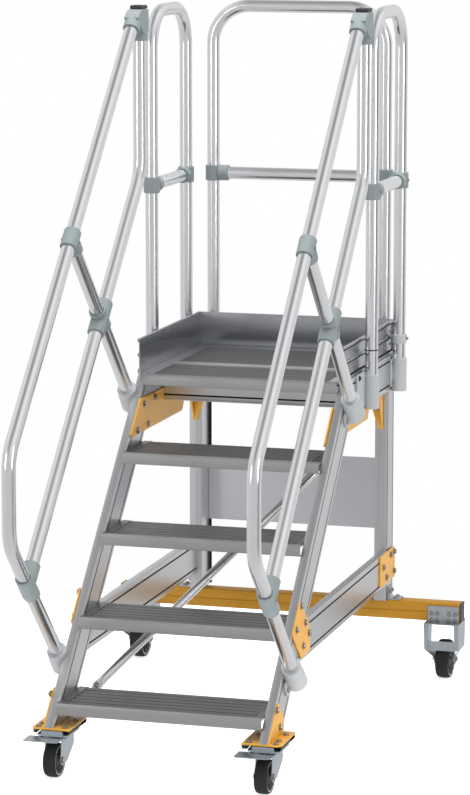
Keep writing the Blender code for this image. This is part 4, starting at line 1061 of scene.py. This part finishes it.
FOOT_LOW, FOOT_HIGH = node_box("foot_plate_right")
HEAD_LOW, HEAD_HIGH = node_box("front_castor_head_right")
FORK_HIGH = node_box("front_castor_fork_right")[1]
CASTOR_X = {word: float(np.mean([corner[0] for corner in node_box("front_castor_head_" + word)]))
            for word, side in SIDES}
for word, side in SIDES:
    low, high = FOOT_TOP - PLATE, FOOT_TOP
    x0, x1 = sorted((side * FOOT_LOW[0], side * FOOT_HIGH[0]))
    radii = [0.003, 0.020, 0.006, 0.003] if side > 0 else [0.020, 0.003, 0.003, 0.006]
    outline = rounded([(x0, FOOT_LOW[1]), (x1, FOOT_LOW[1]), (x1, FOOT_HIGH[1]), (x0, FOOT_HIGH[1])], radii,
                      steps=6)
    base = plate(outline, "z", low - GAP, high - GAP)
    lug = [slope_at_z(-SETBACK, high - GAP), slope_at_z(-SETBACK, 0.242), (0.087, 0.2306), (0.128, 0.188),
           (0.132, 0.175),
           (0.127, high - GAP)]
    lug = side_plate(lug, side, OUTER_X + GAP, PLATE, [0, 0.004, 0.008, 0.006, 0.004, 0])
    name = "foot_plate_" + word
    piece(name, [base, lug], YELLOW, "stair", (name,), bevel=0.001)
    outer = OUTER_X + GAP + PLATE
    toe = slope_at_z(-SETBACK, high)[0]
    heads = side_bolts([(toe + 0.080, 0.226), (toe + 0.114, 0.168)], side, outer)
    on_plate = [(side * (outer + 0.016), toe + d, high) for d in (0.012, 0.044, 0.120)]
    heads += bolts(on_plate, (0, 0, 1), 0.0072)
    inside = [(side * (FOOT_LOW[0] + 0.018), toe + d, high) for d in (0.014, 0.110)]
    heads += bolts(inside, (0, 0, 1), 0.0072)
    piece("foot_bolts_" + word, heads, STEEL)
    pad = rounded([(x0 + 0.001, FOOT_LOW[1] + 0.001), (x1 - 0.001, FOOT_LOW[1] + 0.001),
                   (x1 - 0.001, FOOT_HIGH[1] - 0.003),
                   (x0 + 0.001, FOOT_HIGH[1] - 0.003)], radii, steps=6)
    head_low, head_high = node_box("front_castor_head_" + word)
    rims = [(np.minimum(pad[:, 0], head_low[0] - GAP), pad[:, 1]),
            (np.maximum(pad[:, 0], head_high[0] + GAP), pad[:, 1]),
            (pad[:, 0], np.maximum(pad[:, 1], head_high[1] + GAP))]
    shapes = [plate(pad, "z", HEAD_HIGH[2] + GAP, low - 2 * GAP)]
    shapes += [plate(trimmed(np.column_stack(rim)), "z",
                     low - 0.0105, HEAD_HIGH[2] + 2 * GAP) for rim in rims]
    piece("foot_pad_" + word, shapes, BLACK)

# %% [markdown]
# ## Wheels
# A wheel is one outline turned round its axle: a rounded tread, a flank, a bright ring at the seat
# of the tyre, and a dark disc with ribs and a hub. Tyre and disc are separate pieces on one body.

# %% Wheel outlines
def wheel_pieces(name, word, ribs):
    """Tyre, disc, ring and hub of one wheel about the X axis through the middle of its box."""
    low, high = node_box(f"{name}_{word}_tyre")
    centre = (low + high) / 2
    radius, half = (high[2] - low[2]) / 2, (high[0] - low[0]) / 2
    body = f"{name}_{word}"
    seat, crown = radius * 0.895, half * 0.30
    arc = np.linspace(0, np.pi / 2, 7)
    shoulder = np.column_stack([crown + (half - crown) * np.sin(arc),
                                radius - (half - crown) * 0.42 * (1 - np.cos(arc))])
    flank = [(half, seat + 0.0012), (half * 0.93, seat - 0.001), (half * 0.86, seat - 0.001)]
    right = np.concatenate([shoulder, flank])
    outline = np.concatenate([right[::-1] * (-1, 1), right])
    tyre = spun(outline, centre, (1, 0, 0), 72, wrap=True)
    piece(f"{body}_tyre", [tyre], RUBBER, body, (f"{body}_tyre",), smooth=40)
    ring = [(half * 0.90, seat - 0.0006), (half * 0.96, seat - 0.0012), (half * 0.96, seat - 0.0036),
            (half * 0.90, seat - 0.0042)]
    rings = [spun(np.array(ring) * (hand, 1), centre, (1, 0, 0), 72, wrap=True) for hand in (1, -1)]
    piece(f"{body}_ring", rings, RIM_RING, body)
    inner, hub = radius * 0.34, radius * 0.27
    disc = [(-half * 0.86, seat - 0.0016), (-half * 0.82, seat - 0.0060), (-half * 0.45, seat - 0.012)]
    disc += [(-half * 0.45, inner), (-half * 0.80, hub), (-half * 0.80, 0.0075)]
    disc = np.array(disc)
    disc = np.concatenate([disc, disc[::-1] * (-1, 1)])
    shapes = [spun(disc, centre, (1, 0, 0), 72, wrap=True)]
    for turn in np.linspace(0, 2 * np.pi, ribs, endpoint=False):
        outward = np.array((0.0, math.cos(turn), math.sin(turn)))
        sideways = np.array((0.0, -math.sin(turn), math.cos(turn)))
        frames = [(centre + outward * reach, sideways, (1.0, 0.0, 0.0))
                  for reach in (hub * 0.9, seat - 0.008)]
        flat = [(-0.0013, -half * 0.72), (0.0013, -half * 0.72), (0.0013, half * 0.72),
                (-0.0013, half * 0.72)]
        shapes.append(carried(flat, frames[0], frames[1]))
    piece(f"{body}_rim", shapes, RIM, body, (f"{body}_rim",), smooth=35)


for word, side in SIDES:
    wheel_pieces("front_wheel", word, 10)
    wheel_pieces("rear_wheel", word, 12)
print("wheels done")

# %% [markdown]
# ## Front castors
# The fork is pressed from sheet: a flat top and two cheeks that narrow to the axle. The pedal is a
# tongue of sheet with a curled lip. The fork, pedal and wheel turn on their own joints, so a piece
# of each stays clear of the others.

# %% Front castors
FRONT_AXLE = np.mean(node_box("front_wheel_right_tyre"), axis=0)
SWIVEL_Y = FRONT_AXLE[1] + 0.042
RACE_RADIUS, SHEET_THICK = 0.030, 0.003
for word, side in SIDES:
    centre = CASTOR_X[word]
    swivel = np.array((centre, SWIVEL_Y))
    head = rounded([(centre - 0.048, HEAD_LOW[1] + 0.003), (centre + 0.048, HEAD_LOW[1] + 0.003),
                    (centre + 0.048, HEAD_HIGH[1]),
                    (centre - 0.048, HEAD_HIGH[1])], 0.010, steps=6)
    plate_bottom = FOOT_TOP - PLATE - 0.0123 - 0.006
    shapes = [plate(head, "z", plate_bottom, plate_bottom + 0.0057)]
    flange = rounded([(centre - 0.033, plate_bottom), (centre + 0.033, plate_bottom),
                      (centre + 0.033, plate_bottom + 0.017),
                      (centre - 0.033, plate_bottom + 0.017)], [0, 0, 0.006, 0.006])
    shapes.append(plate(flange, "y", HEAD_LOW[1], HEAD_LOW[1] + 0.003))
    race = [(0, RACE_RADIUS - 0.004), (-0.0025, RACE_RADIUS - 0.0005), (-0.006, RACE_RADIUS),
            (-0.0095, RACE_RADIUS - 0.001)]
    race += [(-0.0117, RACE_RADIUS - 0.006)]
    shapes.append(spun(race, (*swivel, plate_bottom), (0, 0, 1), 40))
    name = "front_castor_head_" + word
    piece(name, shapes, ZINC, "stair", (name,), bevel=0.0006)
    corners = [(centre + a * 0.036, y, plate_bottom) for a in (-1, 1)
               for y in (HEAD_LOW[1] + 0.016, HEAD_HIGH[1] - 0.014)]
    piece("castor_head_bolts_" + word, bolts(corners, (0, 0, -1), 0.0055, 0.004), STEEL)
    body = "front_castor_" + word
    top = FORK_HIGH[2]
    axle = (centre, FRONT_AXLE[1], FRONT_AXLE[2])
    cheek = [(-0.018, top), (0.089, top), (0.0885, 0.076), (0.029, 0.038), (-0.020, 0.034), (-0.031, 0.050)]
    cheek = rounded(np.array(cheek), [0.004, 0.006, 0.012, 0.012, 0.014, 0.014], steps=6)
    shapes = []
    for hand in (-1, 1):
        near, far = sorted((centre + hand * (0.0255 - SHEET_THICK), centre + hand * 0.0255))
        shapes.append(plate(cheek, "x", near, far))
    crown = [(centre - 0.0255, SWIVEL_Y - 0.045), (centre + 0.0255, SWIVEL_Y - 0.045),
             (centre + 0.0255, 0.089), (centre - 0.0255, 0.089)]
    shapes.append(plate(rounded(crown, [0.002, 0.002, 0.006, 0.006]), "z", top - SHEET_THICK, top))
    shapes.append(spun([(-0.0275, 0.0), (-0.0275, 0.0060), (0.0275, 0.0060), (0.0275, 0.0)], axle,
                       (1, 0, 0), 24))
    name = "front_castor_fork_" + word
    piece(name, shapes, ZINC, body, (name,), bevel=0.0008)
    nuts = bolts([(centre + 0.0255, *axle[1:])], (1, 0, 0), 0.0085, 0.0065)
    nuts += bolts([(centre - 0.0255, *axle[1:])], (-1, 0, 0), 0.0085, 0.0065)
    piece("front_axle_nuts_" + word, nuts, STEEL, body)
print("castor forks done")

# %% [markdown]
# The pedal sits above its hinge line at the front of the fork, and its free edge is curled down for
# the toe of a shoe. Both sides use the same left-handed stamping.

# %% Brake pedals
for word, side in SIDES:
    low, high = node_box("brake_pedal_" + word)
    tongue = rounded([(low[0], low[1]), (high[0], low[1]), (high[0], high[1] - 0.0005),
                      (low[0], high[1] - 0.0005)],
                     [0.008, 0.014, 0.003, 0.003], steps=6)
    shapes = [plate(tongue, "z", high[2] - SHEET_THICK, high[2])]
    hinge = [(high[2] - SHEET_THICK + 0.001, high[1] - 0.0085),
             (high[2] - SHEET_THICK + 0.001, high[1] - 0.0005),
             (low[2], high[1] - 0.0005), (low[2], high[1] - 0.0035)]
    shapes.append(plate([(y, z) for z, y in hinge], "x", low[0] + 0.001, high[0] - 0.001))
    name = "brake_pedal_" + word
    piece(name, shapes, ZINC, name, (name,), bevel=0.0008)

# %% [markdown]
# ## Rear castors
# These don't swivel. A face plate is bolted to the cross beam, a ledge goes forward from its foot,
# and two cheeks narrow down to the axle. A cross plate joins the cheeks at the front, with an open
# window above it.

# %% Rear castors
BRACKET_HIGH = node_box("rear_castor_bracket_right")[1]
REAR_AXLE = np.mean(node_box("rear_wheel_right_tyre"), axis=0)
REAR_WIDE, REAR_NARROW = 0.056, 0.034
for word, side in SIDES:
    centre = side * REAR_AXLE[0]
    axle = np.array((centre, REAR_AXLE[1], REAR_AXLE[2]))
    top = STABILISER_LOW[2] - GAP
    shapes = []
    levels = [(-0.014, REAR_NARROW), (0.009, REAR_NARROW), (0.040, REAR_WIDE), (top - axle[2], REAR_WIDE)]
    widths = [(-0.012, 0.012), (-0.026, 0.022), (-0.062, 0.036), (-0.070, 0.040)]
    for hand in (-1, 1):
        rings = []
        for (up, out), (front, back) in zip([(-0.0180, REAR_NARROW)] + levels, [(-0.008, 0.008)] + widths):
            xs = (centre + hand * (out - SHEET_THICK), centre + hand * out)
            ys = (axle[1] + front, axle[1] + back)
            rings.append([(xs[0], ys[0], axle[2] + up), (xs[1], ys[0], axle[2] + up),
                          (xs[1], ys[1], axle[2] + up),
                          (xs[0], ys[1], axle[2] + up)])
        shapes.append(stack(rings))
    shapes.append(box((centre - REAR_WIDE, axle[1] - 0.070, top - SHEET_THICK),
                      (centre + REAR_WIDE, axle[1] + 0.040, top)))
    back = STABILISER_LOW[1] - GAP
    shapes.append(box((centre - 0.0505, back - SHEET_THICK, top - 0.002),
                      (centre + 0.0505, back, BRACKET_HIGH[2])))
    for hand in (-1, 1):
        flange = [(centre + hand * (REAR_WIDE - 0.001), top - 0.001),
                  (centre + hand * (REAR_WIDE - 0.001), 0.106),
                  (centre + hand * (REAR_WIDE - 0.012), 0.106),
                  (centre + hand * (REAR_WIDE - 0.016), top - 0.001)]
        shapes.append(plate(flange, "y", axle[1] - 0.0655, axle[1] - 0.0625))
    cross = [(centre - REAR_WIDE + 0.0015, 0.131), (centre - REAR_WIDE + 0.0015, 0.1025),
             (centre - REAR_WIDE + 0.012, 0.1005),
             (centre + REAR_WIDE - 0.012, 0.1005), (centre + REAR_WIDE - 0.0015, 0.1025),
             (centre + REAR_WIDE - 0.0015, 0.131)]
    shapes.append(plate(cross, "y", axle[1] - 0.0615, axle[1] - 0.0585))
    shapes.append(spun([(-REAR_NARROW - 0.004, 0.0), (-REAR_NARROW - 0.004, 0.0065),
                        (REAR_NARROW + 0.004, 0.0065),
                        (REAR_NARROW + 0.004, 0.0)], axle, (1, 0, 0), 24))
    name = "rear_castor_bracket_" + word
    piece(name, shapes, ZINC, "stair", (name,), bevel=0.0008)
    places = [(centre + dx, back - SHEET_THICK, z) for dx in (-0.038, -0.0185, 0.0185, 0.040)
              for z in (0.2165, 0.1945)]
    heads = bolts(places, (0, -1, 0), 0.0058, 0.005)
    for hand in (-1, 1):
        heads += bolt((centre + hand * REAR_NARROW, *axle[1:]), (hand, 0, 0), 0.0090, 0.0070)
    piece("rear_castor_bolts_" + word, heads, STEEL)
print("castors done")

# %% [markdown]
# ## Camera, floor and light
# The lens is long and the camera stands well off, so that upright pieces look upright. The light is
# a pale room with a large soft panel above, one at the front left and one at the right. The floor
# is nearly white.

# %% Camera
CAMERA_YAW, CAMERA_PITCH = math.radians(16.215), math.radians(9.322)
camera_data = bpy.data.cameras.new("camera")
camera_data.lens = 152.5
camera_data.sensor_width = 36.0
camera = bpy.data.objects.new("camera", camera_data)
camera.location = (2.811, -8.876 + NOSE_Y, 2.644)
camera.rotation_euler = (math.pi / 2 - CAMERA_PITCH, 0.0, CAMERA_YAW)
bpy.context.scene.collection.objects.link(camera)
bpy.context.scene.camera = camera

# %% Floor
FLOOR_REACH, FLOOR_CORNERS = 1.9, 96
angle = np.linspace(0, 2 * np.pi, FLOOR_CORNERS, endpoint=False)
rim = np.column_stack([FLOOR_REACH * np.cos(angle), FLOOR_REACH * np.sin(angle), np.zeros(FLOOR_CORNERS)])
floor_mesh = bpy.data.meshes.new("floor")
floor_mesh.from_pydata(rim.tolist(), [], [list(range(FLOOR_CORNERS))])
floor = bpy.data.objects.new("floor", floor_mesh)
bpy.context.scene.collection.objects.link(floor)
pale = Look("studio floor", Roughness=0.9, Specular_IOR_Level=0.15, Emission_Color=(1.0, 1.0, 1.0),
            Emission_Strength=0.68)
speckle = pale.noise(pale.place(), 30.0, 2.0)
pale.put("Base Color", pale.mix(speckle, (0.93, 0.93, 0.93), (0.95, 0.95, 0.95)))
floor_mesh.materials.append(pale.material)
floor.visible_glossy = False


# %% Light
def soft_panel(name, place, target, size, power, mirrored=True):
    """An area light that faces a point of the stair; metal may or may not mirror it."""
    data = bpy.data.lights.new(name, "AREA")
    data.shape = "RECTANGLE"
    data.size, data.size_y = size
    data.energy = power
    made = bpy.data.objects.new(name, data)
    made.location = place
    heading = np.array(target) - place
    made.rotation_euler = (math.atan2(math.hypot(*heading[:2]), -heading[2]), 0.0,
                           math.atan2(-heading[0], heading[1]))
    made.visible_glossy = mirrored
    bpy.context.scene.collection.objects.link(made)


CENTRE = (0.0, 0.0, 1.0)
soft_panel("light above", (0.3, 0.0, 6.0), CENTRE, (6.0, 6.0), 420.0, mirrored=False)
soft_panel("light front left", (-3.6, -5.2, 2.6), CENTRE, (1.0, 3.2), 36.0)
soft_panel("light right", (5.2, -2.0, 2.4), CENTRE, (1.2, 3.4), 60.0)

# %% [markdown]
# Bright metal shows the room more than its own colour. The room is therefore shaded: a little
# brighter behind the stair than on the camera's side, dark in a band overhead with a brighter part
# on each side of it, and dim at the right flank. The camera itself sees plain white.

# %% Room
ROOM_FRONT, ROOM_BACK, ROOM_TOP, FLANK_DIP, OVERHEAD = 0.57, 0.74, 0.30, 0.55, 0.70
BAND_SIDE, BAND_GAIN, BAND_EDGE, DARKEST = 0.15, 2.2, -0.35, 0.03
world = bpy.data.worlds.new("pale room")
bpy.context.scene.world = world
world.use_nodes = True
nodes, links = world.node_tree.nodes, world.node_tree.links


def room_value(kind, value, first, second=None):
    """One Math node of the room; an input is a socket or a number."""
    made = nodes.new("ShaderNodeMath")
    made.operation, made.use_clamp = kind, value
    for entry, given in zip(made.inputs, (first, second)):
        if isinstance(given, bpy.types.NodeSocket):
            links.new(given, entry)
        elif given is not None:
            entry.default_value = given
    return made.outputs[0]


axes = nodes.new("ShaderNodeSeparateXYZ")
links.new(nodes.new("ShaderNodeTexCoord").outputs["Generated"], axes.inputs[0])
backward = room_value("MULTIPLY_ADD", True, axes.outputs["Y"], 0.5)
nodes[-1].inputs[2].default_value = 0.5
level = room_value("MULTIPLY_ADD", False, backward, ROOM_BACK - ROOM_FRONT)
nodes[-1].inputs[2].default_value = ROOM_FRONT
height = room_value("POWER", False, room_value("MAXIMUM", False, axes.outputs["Z"], 0.0), 2.0)
lowered = room_value("MULTIPLY", False, height, (ROOM_FRONT + ROOM_BACK) / 2 - ROOM_TOP)
flank = room_value("POWER", False, room_value("MAXIMUM", False, axes.outputs["X"], 0.0), 12.0)
dip = room_value("MULTIPLY", False, flank, FLANK_DIP)
aside = room_value("ABSOLUTE", False, room_value("ADD", False, axes.outputs["X"], BAND_SIDE))
strip_light = room_value("MULTIPLY_ADD", True, aside, BAND_GAIN)
nodes[-1].inputs[2].default_value = BAND_EDGE
overhead = room_value("MULTIPLY", False, room_value("MULTIPLY", False, strip_light, height), OVERHEAD)
shade = room_value("SUBTRACT", False, room_value("SUBTRACT", False, level, lowered), dip)
shade = room_value("ADD", False, shade, overhead)
shade = room_value("MAXIMUM", False, shade, DARKEST)
seen = nodes.new("ShaderNodeLightPath").outputs["Is Camera Ray"]
links.new(room_value("MAXIMUM", False, shade, seen), nodes["Background"].inputs["Strength"])
nodes["Background"].inputs["Color"].default_value = (1.0, 1.0, 1.0, 1.0)
bpy.context.scene.view_settings.view_transform = "Standard"
